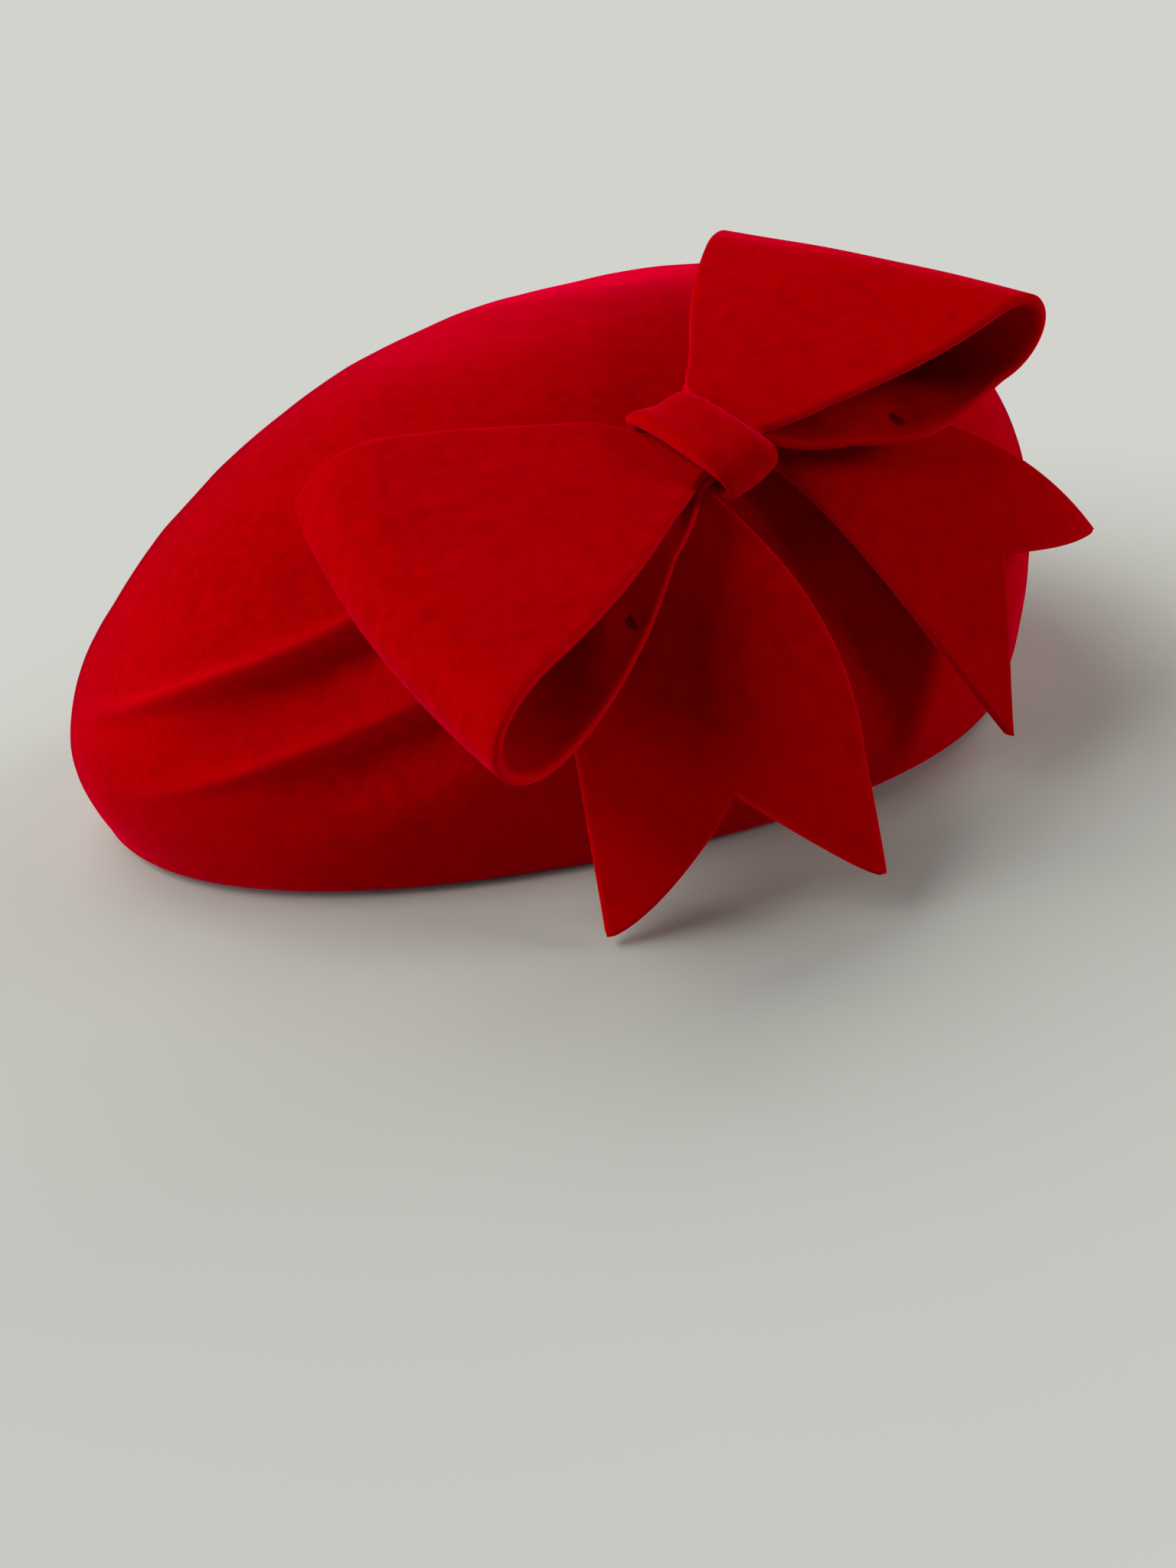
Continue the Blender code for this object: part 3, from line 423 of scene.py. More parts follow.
def crownOuter():
    # rows from the top down over the dome, the wall, the rounded rim and the flat hem;
    # the columns are closer where the tucks are
    fineFrom, fineTo = math.radians(crown["fineFrom"]), math.radians(crown["fineTo"])
    angle = np.concatenate((
        np.linspace(fineFrom, fineTo, crown["steps"][0], endpoint=False),
        np.linspace(fineTo, fineFrom + math.tau, crown["steps"][1], endpoint=False)))
    share = np.linspace(0.0, 1.0, crown["domeRows"] + 1)[-2::-1]
    turn = 0.5 * math.pi * share ** crown["rowBias"]
    climb = np.sin(turn) ** (2.0 / crown["topPower"])
    ring = np.cos(turn) ** (2.0 / crown["sidePower"])
    x, y = rimOutline(angle, 0.0)
    rise = crown["height"] - crown["widestHeight"]
    heights = crown["widestHeight"] + rise * climb
    dome = np.stack((ring[:, None] * x, ring[:, None] * y, np.repeat(heights[:, None], len(angle), 1)), -1)
    wallHeights = np.linspace(crown["widestHeight"], crown["rimRadius"], crown["wallRows"] + 2)[1:-1]
    wallShare = (crown["widestHeight"] - wallHeights) / (crown["widestHeight"] - crown["rimRadius"])
    corner = np.linspace(0.0, 0.5 * math.pi, crown["cornerRows"])
    insets = np.concatenate((
        crown["turnIn"] * wallShare ** 2,
        crown["turnIn"] + crown["rimRadius"] * (1.0 - np.cos(corner)),
        np.linspace(crown["turnIn"] + crown["rimRadius"], crown["hemWidth"], crown["hemRows"] + 1)[1:]))
    edgeHeights = np.concatenate((
        wallHeights, crown["rimRadius"] * (1.0 - np.sin(corner)), np.zeros(crown["hemRows"])))
    edge = np.empty((len(insets), len(angle), 3))
    edge[..., 0], edge[..., 1] = rimOutline(angle[None, :], insets[:, None])
    edge[..., 2] = edgeHeights[:, None]
    skin = np.concatenate((dome, edge))
    lean = leanShare(skin[..., 2])
    skin[..., 0] += crown["leanSide"] * lean
    skin[..., 1] += crown["leanBack"] * lean
    # tucks and the slight unevenness of hand blocking, fading out at the flat hem
    free = smoothStep(skin[..., 2] / crown["widestHeight"])
    hand = unevenness(skin, crown["waveMm"], crown["waveHeightMm"], crown["seeds"][0])
    hand += unevenness(skin, crown["napMm"], crown["napHeightMm"], crown["seeds"][1])
    folds, paintedCrestHighlight = tuckLift(skin)
    lift = np.where(skin[..., 2] > crown["rimRadius"], folds, 0.0) + free * hand
    return skin + lift[..., None] * crownNormals(skin), paintedCrestHighlight


def makeCrown():
    # the outer skin, the rounded edge of the hem and the inner skin, one felt further in; the inside of
    # the dome keeps only some of its rows, and a fan closes each pole
    outer, paintedCrestHighlight = crownOuter()
    normal = sheetNormals(outer, closed=True)
    felt = crown["felt"]
    inner = (outer - felt * normal)[::-1]
    edgeRows = len(outer) - crown["domeRows"]
    inner = np.concatenate((inner[:edgeRows], inner[edgeRows::crown["innerStep"]]))
    turn = math.pi * np.array(feltEdge["rows"])[:, None, None]
    edge = outer[-1] - 0.5 * felt * normal[-1]
    inward = unit(np.cross(np.roll(edge, -1, axis=0) - np.roll(edge, 1, axis=0), normal[-1]))
    hemEdge = edge + 0.5 * felt * np.cos(turn) * normal[-1]
    hemEdge = hemEdge + crown["hemBulge"] * felt * np.sin(turn) * inward
    rings = np.concatenate((outer, hemEdge, inner))
    rows, columns = rings.shape[:2]
    # painted highlight along the crests of the tucks and at the cut edge of the hem
    paintedLightMask = np.zeros((rows, columns))
    hem = len(outer)
    paintedLightMask[:hem] = clamp(paintedCrestHighlight)
    paintedLightMask[hem - 1:hem + len(turn) + 1] = crown["hemPaintedHighlight"]
    paintedLightMask[hem:hem + len(turn)] = 1.0
    poles = [rings[0].mean(axis=0), rings[-1].mean(axis=0)]
    points = np.concatenate((rings.reshape(-1, 3), poles))
    hub, ring = rows * columns, np.arange(columns)
    faces = gridFaces(rows, columns, closed=True).tolist()
    faces += fanFaces(hub, ring) + fanFaces(hub + 1, hub - columns + ring, flip=True)
    paintedLightMask = np.concatenate((paintedLightMask.ravel(), np.zeros(len(poles))))
    return addPiece("crownShell", points, faces, crownFelt, ["crown"], paintedLightMask)


crownShell = makeCrown()
print("crown made:", len(crownShell.data.polygons), "faces")


# Frame of the bow

bow = {"bearing": 25.7, "heightAngle": 41.1, "tilt": 29.0, "felt": 0.0018, "gap": 0.0004,
       "loopGap": 0.0012, "leastFacing": 0.45, "halvings": 40}


def meetCrown(origins, direction, near, far):
    # halves the step towards the place where the blocked shape ends
    near = np.full(origins.shape[:-1], near)
    far = np.full(origins.shape[:-1], far)
    for _ in range(bow["halvings"]):
        middle = 0.5 * (near + far)
        inside = domeValue(origins + middle[..., None] * direction) < 0.0
        near = np.where(inside, middle, near)
        far = np.where(inside, far, middle)
    return 0.5 * (near + far)


def bowFrame():
    # the seat is where a ray from the middle of the rim leaves the crown; n is square to the crown there,
    # and t starts level and is turned about n by the tilt
    ray = pointing(bow["bearing"], bow["heightAngle"])
    tilt = math.radians(bow["tilt"])
    seat = meetCrown(np.zeros(3), ray, 0.0, crown["halfLength"] + crown["height"]) * ray
    out = crownNormals(seat)
    level = unit(np.cross([0.0, 0.0, 1.0], out))
    along = math.cos(tilt) * level + math.sin(tilt) * np.cross(out, level)
    return np.stack((along, np.cross(along, out), out)), seat


bowAxes, bowSeat = bowFrame()


def toWorld(points):
    # the seat plus t, s and n along the axes of the bow
    return bowSeat + points @ bowAxes


def addBowFelt(name, node, sheet, closed=False):
    # a sheet in the bow's frame, made felt and put in its place
    points, faces, paintedLightMask = feltSolid(sheet, bow["felt"], closed)
    return addPiece(name, toWorld(points), faces, bowFelt, [node], paintedLightMask)


def crownUnder(t, s):
    # height of the crown in the bow's frame, and the height per metre of gap square to the felt
    feet = bowSeat + t[..., None] * bowAxes[0] + s[..., None] * bowAxes[1]
    depth = crown["halfLength"] + crown["height"]
    height = meetCrown(feet - depth * bowAxes[2], bowAxes[2], 0.0, depth) - depth
    points = feet + height[..., None] * bowAxes[2]
    facing = np.clip(crownNormals(points) @ bowAxes[2], bow["leastFacing"], 1.0)
    return height + tuckLift(points)[0] / facing, 1.0 / facing


# Tails

tailCut = {"width": 0.048, "rootWidth": 0.012, "notch": 0.017, "underlap": 0.002, "floorGap": 0.0012,
           "arcGuard": 0.05, "blendShare": 3.0, "fallAway": 0.8, "stackRoom": 1.25,
           "rows": 90, "columns": 60, "waveMm": 30.0, "waveHeightMm": 0.25}
# pinch, ease and prong are for the left and the right half of a tail, seen from its end; angles are in
# degrees, arch is a radius, and swing and curl are bends per metre
leftTail = {"length": 0.0738, "root": (-0.0052, -0.0007), "lean": -29.6, "swing": -0.37,
            "pinch": (0.0415, 0.0546), "ease": (1.0, 1.0), "prong": (1.53, 1.48),
            "rise": 10.2, "arch": 0.158, "curl": 31.7, "bank": -21.7}
rightTail = {"length": 0.0651, "root": (0.0175, 0.0016), "lean": 25.0, "swing": -1.11,
             "pinch": (0.062, 0.0939), "ease": (1.16, 1.15), "prong": (0.91, 1.32),
             "rise": 14.2, "arch": 0.0573, "curl": 25.1, "bank": -15.3}


def halfValue(tail, name, side):
    # the right half's value where the side is over 0, and else the left half's
    return np.where(side > 0.0, tail[name][1], tail[name][0])


def tailHalfWidth(tail, reach, side):
    # narrow under the knot, opening in a quarter wave that may start late
    opened = np.sin(0.5 * math.pi * clamp(reach / halfValue(tail, "pinch", side)))
    opened = opened ** halfValue(tail, "ease", side)
    return 0.5 * (tailCut["rootWidth"] + (tailCut["width"] - tailCut["rootWidth"]) * opened)


def tailOpened(tail, reach):
    # 0 at the knot and 1 from where the tail has its full width, in a straight line
    return clamp(reach / max(tail["pinch"]))


def tailHeight(tail, t, s, reach, side):
    # on the crown near the knot, then off it in an arch, curled down at its right side and banked, and
    # clear of the floor at the tips
    opened = tailOpened(tail, reach)
    outer = np.maximum(side, 0.0)
    bend = tail["curl"] * opened * outer
    sink = bend * outer / (1.0 + np.sqrt(np.clip(1.0 - bend ** 2, tailCut["arcGuard"], None)))
    flight = bow["gap"] + 0.5 * bow["felt"] + math.tan(math.radians(tail["rise"])) * reach
    flight = flight - reach ** 2 / (2.0 * tail["arch"]) - sink
    flight = flight - math.tan(math.radians(tail["bank"])) * opened * side
    under, stretch = crownUnder(t, s)
    rest = under + (0.5 * bow["felt"] + bow["gap"]) * stretch
    up = bowAxes[:, 2]
    floor = (tailCut["floorGap"] - bowSeat[2] - t * up[0] - s * up[1]) / up[2] + 0.5 * bow["felt"]
    blend = bow["felt"] / tailCut["blendShare"]
    return softMax(softMax(rest, flight, blend), floor, blend)


def tailSheet(tail, rows, columns):
    # rows run from the knot to the end, columns across; the end is cut in to a V
    across = np.linspace(-1.0, 1.0, columns + 1)
    down = np.linspace(0.0, 1.0, rows + 1)[:, None]
    notch = (1.0 - np.abs(across)) ** halfValue(tail, "prong", across)
    end = tail["length"] - tailCut["notch"] * notch
    reach = -tailCut["underlap"] + down * (end + tailCut["underlap"])
    arc = across * tailHalfWidth(tail, reach, across)
    curl = tail["curl"] * tailOpened(tail, reach)
    side = np.where(arc > 0.0, arc * np.sinc(arc * curl / math.pi), arc)
    aside = side + 0.5 * tail["swing"] * reach ** 2
    lean = math.radians(tail["lean"])
    t = tail["root"][0] + reach * math.sin(lean) + aside * math.cos(lean)
    s = tail["root"][1] + reach * math.cos(lean) - aside * math.sin(lean)
    return np.stack((t, s, tailHeight(tail, t, s, reach, side)), axis=-1)


def overTail(tail, t, s):
    # height that a sheet needs to lie on this tail; outside its outline it falls away
    lean = math.radians(tail["lean"])
    dt, ds = t - tail["root"][0], s - tail["root"][1]
    reach = dt * math.sin(lean) + ds * math.cos(lean)
    side = dt * math.cos(lean) - ds * math.sin(lean) - 0.5 * tail["swing"] * reach ** 2
    outside = np.maximum(np.abs(side) - tailHalfWidth(tail, reach, side), -tailCut["underlap"] - reach)
    skirt = tailCut["fallAway"] * np.maximum(outside - bow["felt"], 0.0)
    room = tailCut["stackRoom"] * (bow["felt"] + bow["gap"])
    return tailHeight(tail, t, s, reach, side) + room - skirt


def makeTail(name, node, tail, seed):
    # the tail's sheet, lifted by waves that start at the knot and are full from half way, made felt
    sheet = tailSheet(tail, tailCut["rows"], tailCut["columns"])
    free = smoothStep(np.linspace(0.0, 1.0, tailCut["rows"] + 1) * 2.0)[:, None]
    lift = np.maximum(free * unevenness(sheet, tailCut["waveMm"], tailCut["waveHeightMm"], seed), 0.0)
    sheet[..., 2] += lift
    return addBowFelt(name, node, sheet)


leftTailPiece = makeTail("tailLeft", "bow_tail_left", leftTail, seed=21)
rightTailPiece = makeTail("tailRight", "bow_tail_right", rightTail, seed=22)
print("tails made")


# Loops

loopCut = {"rootWidth": 0.014, "rootGap": 0.0022, "straight": 0.0075, "skewPower": 1.4,
           "cornerFrom": 0.72, "shoulderRise": 0.5, "shoulderHold": 1.4, "shoulderBack": 1.25,
           "liftGrid": (91, 31), "bridge": (7, 9), "rootRows": 8, "steps": (60, 44, 70), "columns": 56,
           "waveMm": 26.0, "waveHeightMm": 0.25, "dimple": 0.0007, "dimpleRadius": 0.0035}
knot = {"centre": (0.0038, -0.0011, 0.0075), "pitch": 18.4, "length": 0.0247, "height": 0.0094,
        "width": 0.0100, "swell": 0.0007, "flare": 0.0010, "skirt": 0.0016, "slide": 0.0012,
        "lip": 0.0036, "lipSlope": 1.5, "lift": 0.0030, "rollUnder": 0.0020, "rollPowers": (9, 4),
        "power": 3.2, "steps": 160, "columns": 36}
# angles are in degrees; a shoulder is its size, the reach where it begins and how far it takes to fade
leftLoop = {"hand": -1.0, "length": 0.0626, "endWidth": 0.0818, "gap": 0.0206, "fold": 0.0155,
            "yaw": 14.7, "rise": 7.6, "roll": 27.3, "flare": 0.0068, "skew": 0.0012,
            "sweep": -0.0026, "bulge": 0.0036, "corner": 0.0017, "shoulder": (0.0030, 0.0055, 0.012),
            "over": leftTail, "tackReach": 0.0258, "tackOffset": 0.0181}
rightLoop = {"hand": 1.0, "length": 0.0502, "endWidth": 0.0719, "gap": 0.0132, "fold": 0.0083,
             "yaw": 13.4, "rise": 0.2, "roll": 29.6, "flare": 0.0066, "skew": 0.0059,
             "sweep": -0.0052, "bulge": 0.0012, "corner": 0.0, "shoulder": (0.0056, 0.0040, 0.0065),
             "over": rightTail, "tackReach": 0.0232, "tackOffset": 0.0157}


def knotAxes():
    # the knot is pitched up about t, so that its tail end stands off the crown
    pitch = math.radians(knot["pitch"])
    return np.array([[1.0, 0.0, 0.0], [0.0, math.cos(pitch), math.sin(pitch)],
                     [0.0, -math.sin(pitch), math.cos(pitch)]])


def loopProfile(loop, path):
    # path 0 to 1 is the front layer out from the knot, 1 to 2 the fold, 2 to 3 the back layer home;
    # the fold is half an ellipse, and the back layer closes up to the front one in a parabola and runs
    # aside in half a wave
    flat = loop["length"] - loop["fold"]
    turn = 0.5 * math.pi - math.pi * clamp(path - 1.0)
    back = flat * clamp(3.0 - path)
    onBack = path > 2.0
    onFold = (path > 1.0) & ~onBack
    reach = np.where(onFold, flat + loop["fold"] * np.cos(turn), flat * clamp(path))
    reach = np.where(onBack, back, reach)
    opened = clamp((back - loopCut["straight"]) / (flat - loopCut["straight"]))
    belly = loopCut["rootGap"] + (loop["gap"] - loopCut["rootGap"]) * (1.0 - (1.0 - opened) ** 2)
    depth = np.where(onBack, belly, np.where(onFold, 0.5 * loop["gap"] * (1.0 - np.sin(turn)), 0.0))
    aside = loop["skew"] * np.sin(math.pi * (1.0 - opened) ** loopCut["skewPower"])
    skew = np.where(onBack, aside, 0.0)
    return reach, depth, skew


def loopAxes(loop, share):
    # heading, sideways and upright directions once the given share of the turn is made
    yaw = math.radians(loop["yaw"]) * share
    rise = math.radians(loop["rise"]) * share
    level = np.cos(rise)
    heading = np.stack((loop["hand"] * np.cos(yaw) * level, -np.sin(yaw) * level, np.sin(rise)), axis=-1)
    sideways = np.stack((loop["hand"] * np.sin(yaw), np.cos(yaw), np.zeros_like(yaw)), axis=-1)
    return heading, sideways, loop["hand"] * np.cross(heading, sideways)


def loopOpened(loop, reach):
    # 0 where the loop leaves the knot and 1 at its end, in a straight line
    return clamp((reach - loopCut["straight"]) / (loop["length"] - loopCut["straight"]))


def loopWidth(loop, reach):
    # from the width at the root to that at the end in a straight line, plus a flare that is full half way
    opened = loopOpened(loop, reach)
    width = loopCut["rootWidth"] + (loop["endWidth"] - loopCut["rootWidth"]) * opened
    return width + 4.0 * loop["flare"] * opened * (1.0 - opened)


def loopShoulder(loop, reach, path):
    # felt spread beside the knot on the far side: an S up and half a bell down, more in the back layer
    size, begins, fades = loop["shoulder"]
    spread = smoothStep((reach - begins) / (loopCut["shoulderRise"] * loopCut["straight"]))
    past = np.maximum(reach - loopCut["shoulderHold"] * begins, 0.0)
    spread = spread * np.exp(-(past / fades) ** 2)
    return size * spread * np.where(path > 2.0, loopCut["shoulderBack"], 1.0)


def loopSweep(loop, path, across):
    # the profile is swept across the width, turned into the loop's heading and rolled as it opens;
    # the fold runs askew by the sweep and bulges in its middle, its far corner is pulled in, and its far
    # side has a shoulder by the knot
    reach, depth, skew = loopProfile(loop, path)
    straight = loopCut["straight"]
    opened = loopOpened(loop, reach)
    halfWidth = 0.5 * loopWidth(loop, reach)
    farSide = clamp(-across)
    cornerFrom = loopCut["cornerFrom"]
    pulled = loop["corner"] * smoothStep((opened - cornerFrom) / (1.0 - cornerFrom)) * farSide ** 2
    pulled = pulled - loopShoulder(loop, reach, path) * farSide
    free = clamp((reach - straight) / straight)
    reach = reach + (loop["sweep"] * across + loop["bulge"] * (1.0 - across ** 2)) * opened ** 2
    sideways, upright = loopAxes(loop, free)[1:]
    roll = np.radians(knot["pitch"] + (loop["roll"] - knot["pitch"]) * opened)[..., None]
    lateral = np.cos(roll) * sideways + np.sin(roll) * upright
    normal = np.cos(roll) * upright - np.sin(roll) * sideways
    points = np.array(knot["centre"]) + 0.5 * loopCut["rootGap"] * knotAxes()[2]
    points = points + np.minimum(reach, straight)[..., None] * np.array([loop["hand"], 0.0, 0.0])
    points = points + np.maximum(reach - straight, 0.0)[..., None] * loopAxes(loop, np.ones(1))[0]
    points = points + (across * halfWidth + pulled)[..., None] * lateral
    return points - depth[..., None] * normal + skew[..., None] * sideways, free


def evenOut(values, window, axis):
    # the largest value in the window, then the mean of those, so that it never falls under the values
    pad = [(0, 0), (0, 0)]
    pad[axis] = (window - 1, window - 1)
    padded = np.pad(values, pad, mode="edge")
    spread = np.lib.stride_tricks.sliding_window_view(padded, window, axis=axis).max(axis=-1)
    return np.lib.stride_tricks.sliding_window_view(spread, window, axis=axis).mean(axis=-1)


def loopLift(loop):
    # the back layer is raised until it clears what it lies on, and bridges short steps in it
    rows, columns = loopCut["liftGrid"]
    path, across = np.meshgrid(np.linspace(0.0, 3.0, rows), np.linspace(-1.0, 1.0, columns), indexing="ij")
    points, free = loopSweep(loop, path, across)
    under, stretch = crownUnder(points[..., 0], points[..., 1])
    rest = under + (0.5 * bow["felt"] + bow["loopGap"]) * stretch
    rest = np.maximum(rest, overTail(loop["over"], points[..., 0], points[..., 1]))
    need = free * np.maximum(rest - points[..., 2], 0.0)
    return evenOut(evenOut(need, loopCut["bridge"][0], 0), loopCut["bridge"][1], 1)


def loopSurface(loop, path, across):
    # the swept loop with its lift read from the grid between the four nearest places
    points, free = loopSweep(loop, path, across)
    lift = loopLift(loop)
    row = clamp(path / 3.0) * (lift.shape[0] - 1)
    column = clamp(0.5 + 0.5 * across) * (lift.shape[1] - 1)
    r = np.minimum(row.astype(int), lift.shape[0] - 2)
    c = np.minimum(column.astype(int), lift.shape[1] - 2)
    dr, dc = row - r, column - c
    upper = lift[r, c] * (1.0 - dc) + lift[r, c + 1] * dc
    lower = lift[r + 1, c] * (1.0 - dc) + lift[r + 1, c + 1] * dc
    points[..., 2] += free * (upper * (1.0 - dr) + lower * dr)
    return points


def tackPlace(loop):
    # path and share of the half width where the tack goes through the back layer
    path = 3.0 - loop["tackReach"] / (loop["length"] - loop["fold"])
    return path, loop["tackOffset"] / (0.5 * loopWidth(loop, loop["tackReach"]))


def makeLoop(name, node, loop, seed):
    # rows follow the strip out of the knot, round the fold and home; waves of hand work lift it, and the
    # tack pulls a bell-shaped dimple into the back layer
    front, fold, back = loopCut["steps"]
    flat = loop["length"] - loop["fold"]
    start, knee = bow["gap"] / flat, loopCut["straight"] / flat
    rootRows = loopCut["rootRows"]
    path = np.concatenate((
        np.linspace(start, knee, rootRows, endpoint=False), np.linspace(knee, 1.0, front, endpoint=False),
        np.linspace(1.0, 2.0, fold, endpoint=False), np.linspace(2.0, 3.0 - knee, back),
        np.linspace(3.0 - knee, 3.0 - start, rootRows + 1)[1:]))
    path, across = np.meshgrid(path, np.linspace(-1.0, 1.0, loopCut["columns"] + 1), indexing="ij")
    sheet = loopSurface(loop, path, across)
    free = loopOpened(loop, loopProfile(loop, path)[0])
    lift = free * unevenness(sheet, loopCut["waveMm"], loopCut["waveHeightMm"], seed)
    tackPath, tackSide = tackPlace(loop)
    tack = loopSurface(loop, np.array([tackPath]), np.array([tackSide]))[0]
    away = np.linalg.norm(sheet - tack, axis=-1) / loopCut["dimpleRadius"]
    lift -= np.where(path > 2.0, loopCut["dimple"], 0.0) * np.exp(-away ** 2)
    sheet[..., 2] += np.where(path > 2.0, np.clip(lift, -loopCut["dimple"], None), lift)
    return addBowFelt(name, node, sheet)


leftLoopPiece = makeLoop("loopLeft", "bow_loop_left", leftLoop, seed=31)
rightLoopPiece = makeLoop("loopRight", "bow_loop_right", rightLoop, seed=32)
print("loops made")


# Knot

def makeKnot():
    # a rounded-square ring across the loops, swelling in the middle of its width; its left rim stands
    # off the loop and opens in a lip at the upper corner, and both rims roll under
    turn = np.linspace(0.0, math.tau, knot["steps"], endpoint=False)
    place = np.linspace(-0.5, 0.5, knot["columns"] + 1)[:, None]
    swell = knot["swell"] * (1.0 - (2.0 * place) ** 2)
    halfLength = 0.5 * (knot["length"] - bow["felt"]) - knot["swell"] + swell
    halfHeight = 0.5 * (knot["height"] - bow["felt"] - knot["swell"])
    c, s = np.cos(turn), np.sin(turn)
    rise = rounded(s, knot["power"])
    ring = np.empty((knot["columns"] + 1, knot["steps"], 3))
    left, right = clamp(-2.0 * place), clamp(2.0 * place)
    ring[..., 1] = halfLength * rounded(c, knot["power"])
    spread = clamp(-2.0 * ring[..., 1] / knot["length"]) ** 2
    front = np.maximum(rise, 0.0)
    ring[..., 0] = knot["width"] * place - left * (knot["flare"] * spread + knot["skirt"] * front)
    lip = knot["lip"] * left ** 2 * clamp(-c) ** 2 * smoothStep(knot["lipSlope"] * rise)
    ring[..., 1] += knot["slide"] - lip
    leftPower, rightPower = knot["rollPowers"]
    edge = swell + knot["lift"] * left ** 2 - knot["rollUnder"] * (right ** rightPower + left ** leftPower)
    ring[..., 2] = halfHeight * rise + edge * front
    sheet = np.array(knot["centre"]) + ring @ knotAxes()
    return addBowFelt("knotBand", "bow_knot", sheet, closed=True)


knotBand = makeKnot()
print("knot made")


# Sweatband

ribbon = {"thickness": 0.0008, "width": 0.025, "length": 0.545, "ribbed": 0.535, "lift": 0.0006,
          "lap": 0.014, "ribMm": 1.3, "ribHeight": 0.00012, "scallop": 0.0003,
          "stepsPerRib": 5, "rows": 14}


def makeSweatband():
    # a ribbon once round the opening, with cosine ribs across its width; its end steps inwards in an S,
    # from two laps to one lap before it, and lies inside its start
    lap = ribbon["lap"] / (crown["halfWidth"] - crown["hemWidth"])
    ribs = int(ribbon["ribbed"] / (ribbon["ribMm"] * mm))
    share = np.linspace(0.0, 1.0, ribs * ribbon["stepsPerRib"] + 1)
    angle = 0.5 * math.pi - 0.5 * lap + share * (math.tau + lap)
    nearEnd = smoothStep((share - 1.0) * (math.tau + lap) / lap + 2.0)
    inset = crown["hemWidth"] + bow["gap"] + 0.5 * ribbon["thickness"]
    inset = inset + (ribbon["thickness"] + bow["gap"]) * nearEnd
    rib = np.cos(math.tau * ribs * share)
    x, y = rimOutline(angle, inset + ribbon["ribHeight"] * (1.0 - rib))
    rows = np.linspace(0.0, 1.0, ribbon["rows"] + 1)[:, None]
    sheet = np.empty((ribbon["rows"] + 1, len(share), 3))
    sheet[..., 0] = x
    sheet[..., 1] = y
    edge = np.where(rows == 0.0, 1.0, np.where(rows == 1.0, -1.0, 0.0))
    scallop = ribbon["scallop"] * (1.0 - rib) * edge
    sheet[..., 2] = ribbon["lift"] + ribbon["width"] * rows + scallop
    points, faces, paintedLightMask = feltSolid(sheet, ribbon["thickness"])
    # painted shade for the grooves between the ribs, mixed towards the deep colour in the ribbon's finish
    paintedGrooveShade = np.tile(np.tile(0.5 - 0.5 * rib, ribbon["rows"] + 1), 2)
    paintedLightMask[:len(paintedGrooveShade)] = paintedGrooveShade
    return addPiece("sweatbandRibbon", points, faces, ribbonCloth, ["sweatband"], paintedLightMask)


sweatbandRibbon = makeSweatband()
print("sweatband made")


# Sewing

sewing = {"radius": 0.0005, "tackLength": 0.003, "stitchLength": 0.006, "spacing": 0.008,
          "stitchGap": 0.0007, "sunk": 0.4, "probe": 0.02, "turns": 3.0, "steps": 60, "sides": 10,
          "arch": 0.5, "plyOffset": 0.45, "plyRadius": 0.55, "tip": 0.15, "endPower": 8}


def addTwistedBar(name, node, middle, direction, out, length):
    # two plies wound round a short arched bar, each a tube carried along its helix, thin at its ends;
    # ply sizes are shares of the bar's radius
    share = np.linspace(-0.5, 0.5, sewing["steps"])[:, None]
    third = np.cross(direction, out)
    points, faces, first = [], [], 0
    for phase in (0.0, math.pi):
        wind = math.tau * sewing["turns"] * share + phase
        ends = np.sqrt(clamp(1.0 - (2.0 * share) ** sewing["endPower"]))
        thick = sewing["plyRadius"] * sewing["radius"] * (sewing["tip"] + (1.0 - sewing["tip"]) * ends)
        line = middle + length * share * direction
        line = line + sewing["arch"] * sewing["radius"] * (1.0 - (2.0 * share) ** 2) * out
        line = line + sewing["plyOffset"] * sewing["radius"] * (np.cos(wind) * out + np.sin(wind) * third)
        along = unit(np.gradient(line, axis=0))
        side = unit(np.cross(along, out))
        up = np.cross(side, along)
        ring = np.linspace(0.0, math.tau, sewing["sides"], endpoint=False)[:, None]
        spokes = np.cos(ring) * side[:, None, :] + np.sin(ring) * up[:, None, :]
        tube = line[:, None, :] + thick[:, None, :] * spokes
        rows, columns = tube.shape[:2]
        points.append(np.concatenate((tube.reshape(-1, 3), line[[0, -1]])))
        hub, start = first + rows * columns, first + np.arange(columns)
        faces += gridFaces(rows, columns, True, first).tolist() + fanFaces(hub, start)
        faces += fanFaces(hub + 1, start + (rows - 1) * columns, flip=True)
        first = hub + 2
    addPiece(name, toWorld(np.concatenate(points)), faces, sewingThread, [node])


def makeTack(name, node, loop):
    # a bar across the loop, sunk in its dimple; small steps along and across the loop give its directions
    path, side = tackPlace(loop)
    paths = path + np.array([0.0, sewing["probe"], 0.0])
    sides = side + np.array([0.0, 0.0, sewing["probe"]])
    here, onward, sideways = loopSurface(loop, paths, sides)
    out = unit(np.cross(onward - here, sideways - here))
    out = out * np.sign(out[2])
    middle = here + (0.5 * bow["felt"] - loopCut["dimple"] - sewing["sunk"] * sewing["radius"]) * out
    addTwistedBar(name, node, middle, unit(sideways - here), out, sewing["tackLength"])


def makeKnotStitch(name, node, hand):
    # a bar along s on the inside of the crown, half the spacing beside the middle of the knot
    depth = crown["felt"] + sewing["stitchGap"] + sewing["radius"]
    middle = np.array([knot["centre"][0] + 0.5 * hand * sewing["spacing"], 0.0, -depth])
    along, out = np.array([0.0, 1.0, 0.0]), np.array([0.0, 0.0, -1.0])
    addTwistedBar(name, node, middle, along, out, sewing["stitchLength"])


makeTack("tackLeft", "loop_tack_left", leftLoop)
makeTack("tackRight", "loop_tack_right", rightLoop)
makeKnotStitch("knotStitchLeft", "knot_stitch_left", -1.0)
makeKnotStitch("knotStitchRight", "knot_stitch_right", 1.0)
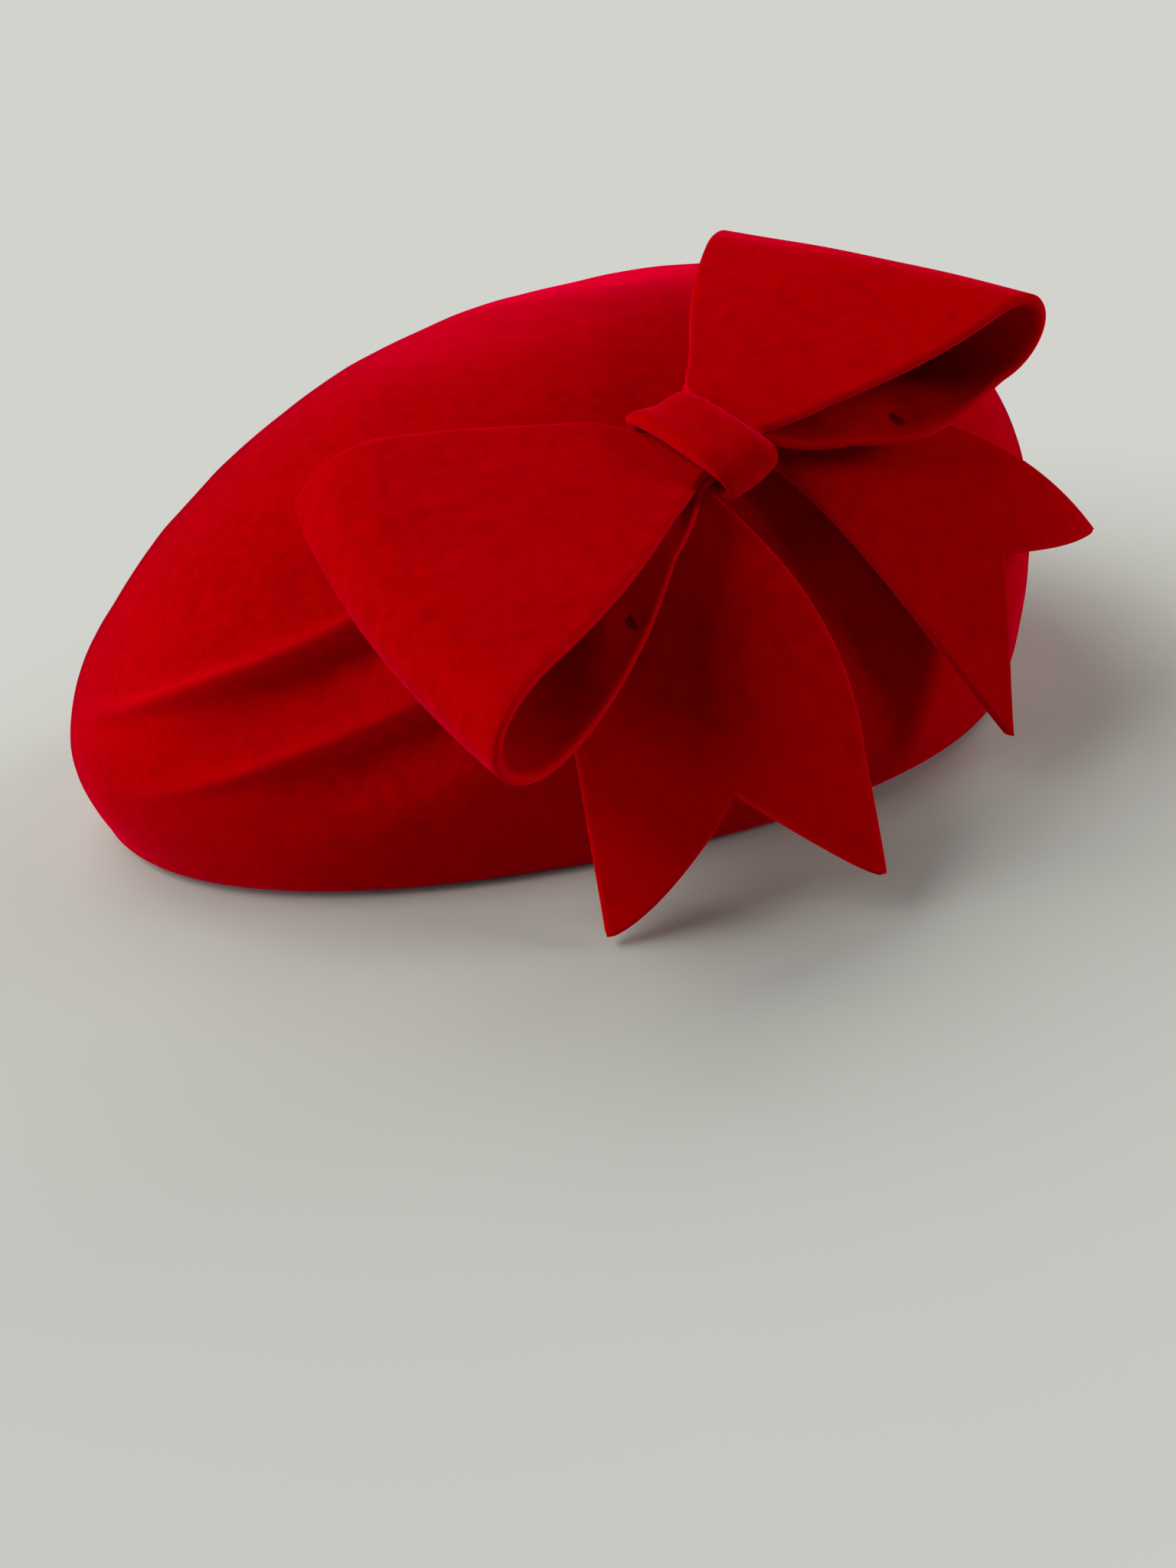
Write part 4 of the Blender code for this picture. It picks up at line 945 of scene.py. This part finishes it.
# the wire lies hidden in the rim, so its solid stays and only gets its finish
wireNode = bpy.data.objects["rim_wire"]
wireNode.data.materials.clear()
wireNode.data.materials.append(wireWrap)
print("sewing made")


# Floor, light and camera

stageLook = {
    "floor": "#BCBEB7", "backdrop": "#D2D3CD", "roomTint": (1.0, 1.0, 0.98, 1.0), "roomStrength": 0.04,
    "floorRadius": 3.0, "floorSides": 96, "floorDropMm": 0.2, "fadeFrom": 0.13, "fadeTo": 0.28,
}


def seenDirectly(owner):
    # 1 for a ray from the camera, in gloss or glass too, and 0 for light on the hat
    rays = addNode(owner, "ShaderNodeLightPath")
    seen = rays.outputs["Is Camera Ray"]
    for kind in ("Is Glossy Ray", "Is Transmission Ray"):
        either = addNode(owner, "ShaderNodeMath", {0: seen, 1: rays.outputs[kind]}, operation="MAXIMUM")
        seen = either.outputs[0]
    return seen


def palePaper(name, look):
    # Matt photographic paper: even and pale; far from the hat it shows as the plain backdrop colour.
    material, place = newMaterial(name)
    far = addNode(material, "ShaderNodeVectorMath", {0: place}, operation="LENGTH")
    farShare = addNode(material, "ShaderNodeMapRange", {
        "Value": far.outputs["Value"], "From Min": look["fadeFrom"], "From Max": look["fadeTo"]})
    share = addNode(material, "ShaderNodeMath", {
        0: seenDirectly(material), 1: farShare.outputs[0]}, operation="MULTIPLY")
    matt = addNode(material, "ShaderNodeBsdfPrincipled", {
        "Base Color": srgb(look["floor"]), "Roughness": 0.95, "Specular IOR Level": 0.1})
    plain = addNode(material, "ShaderNodeEmission", {"Color": srgb(look["backdrop"]), "Strength": 1.0})
    mixed = addNode(material, "ShaderNodeMixShader", {
        0: share.outputs[0], 1: matt.outputs[0], 2: plain.outputs[0]})
    addNode(material, "ShaderNodeOutputMaterial", {"Surface": mixed.outputs[0]})
    return material


def makeFloor(look):
    # a flat disc, a hair below the rim
    sides = look["floorSides"]
    angle = np.linspace(0.0, math.tau, sides, endpoint=False)
    ring = np.stack((np.cos(angle), np.sin(angle), np.zeros(sides)), axis=-1) * look["floorRadius"]
    ring[:, 2] = -look["floorDropMm"] * mm
    mesh = bpy.data.meshes.new("floor")
    mesh.from_pydata(ring.tolist(), [], [list(range(sides))])
    mesh.materials.append(palePaper("mattPaper", look))
    floor = bpy.data.objects.new("floor", mesh)
    scene.collection.objects.link(floor)


def makeWorld(look):
    # a faint even light, and the plain backdrop where it is looked at
    world = bpy.data.worlds.new("studio")
    world.use_nodes = True
    world.node_tree.nodes.clear()
    room = addNode(world, "ShaderNodeBackground", {
        "Color": look["roomTint"], "Strength": look["roomStrength"]})
    backdrop = addNode(world, "ShaderNodeBackground", {"Color": srgb(look["backdrop"]), "Strength": 1.0})
    mixed = addNode(world, "ShaderNodeMixShader", {
        0: seenDirectly(world), 1: room.outputs[0], 2: backdrop.outputs[0]})
    addNode(world, "ShaderNodeOutputWorld", {"Surface": mixed.outputs[0]})
    scene.world = world


lampAim = (0.0, 0.0, 0.04)
lamps = {
    # bearing from the front and height angle in degrees, size in metres and power in watts, all at 1 m
    "back": (206.0, 50.0, 0.6, 3.0),
    "backLeft": (243.0, 46.0, 0.6, 3.2),
    "left": (284.0, 50.0, 0.6, 4.6),
    "lowLeft": (282.0, 12.0, 0.5, 4.0),
    "lowRight": (73.0, 15.0, 0.35, 3.9),
    "backRight": (126.0, 22.0, 0.5, 4.0),
}


def addToStage(name, data, place, axes):
    # an object at the place, with the three axes as the columns of its turn
    made = bpy.data.objects.new(name, data)
    scene.collection.objects.link(made)
    made.matrix_world = Matrix.Translation(place) @ Matrix(np.stack(axes, axis=-1).tolist()).to_4x4()
    return made


def makeLamps():
    # each lamp is a disc 1 m from the aim, and its own Z points back along its light
    for name, (bearing, height, size, power) in lamps.items():
        back = pointing(bearing, height)
        side = unit(np.cross([0.0, 0.0, 1.0], back))
        data = bpy.data.lights.new(name, "AREA")
        data.shape = "DISK"
        data.size = size
        data.energy = power
        addToStage(name, data, (np.array(lampAim) + back).tolist(), (side, np.cross(back, side), back))


photoView = {"elevation": 27.98, "roll": 9.57, "place": (0.0056, -0.2633, 0.1116), "lens": 24.84}


def makeCamera(view):
    # forward looks down along +Y, and the frame is rolled about it
    elevation, roll = math.radians(view["elevation"]), math.radians(view["roll"])
    forward = np.array([0.0, math.cos(elevation), -math.sin(elevation)])
    right = np.array([1.0, 0.0, 0.0])
    down = np.cross(forward, right)
    across = math.cos(roll) * right + math.sin(roll) * down
    below = math.cos(roll) * down - math.sin(roll) * right
    data = bpy.data.cameras.new("photoCamera")
    data.lens = view["lens"]
    data.sensor_width = 36.0
    data.clip_start = 0.01
    scene.camera = addToStage("photoCamera", data, view["place"], (across, -below, -forward))


makeFloor(stageLook)
makeWorld(stageLook)
makeLamps()
makeCamera(photoView)
scene.view_settings.view_transform = "Standard"
print("stage, light and camera set")

bpy.context.view_layer.update()
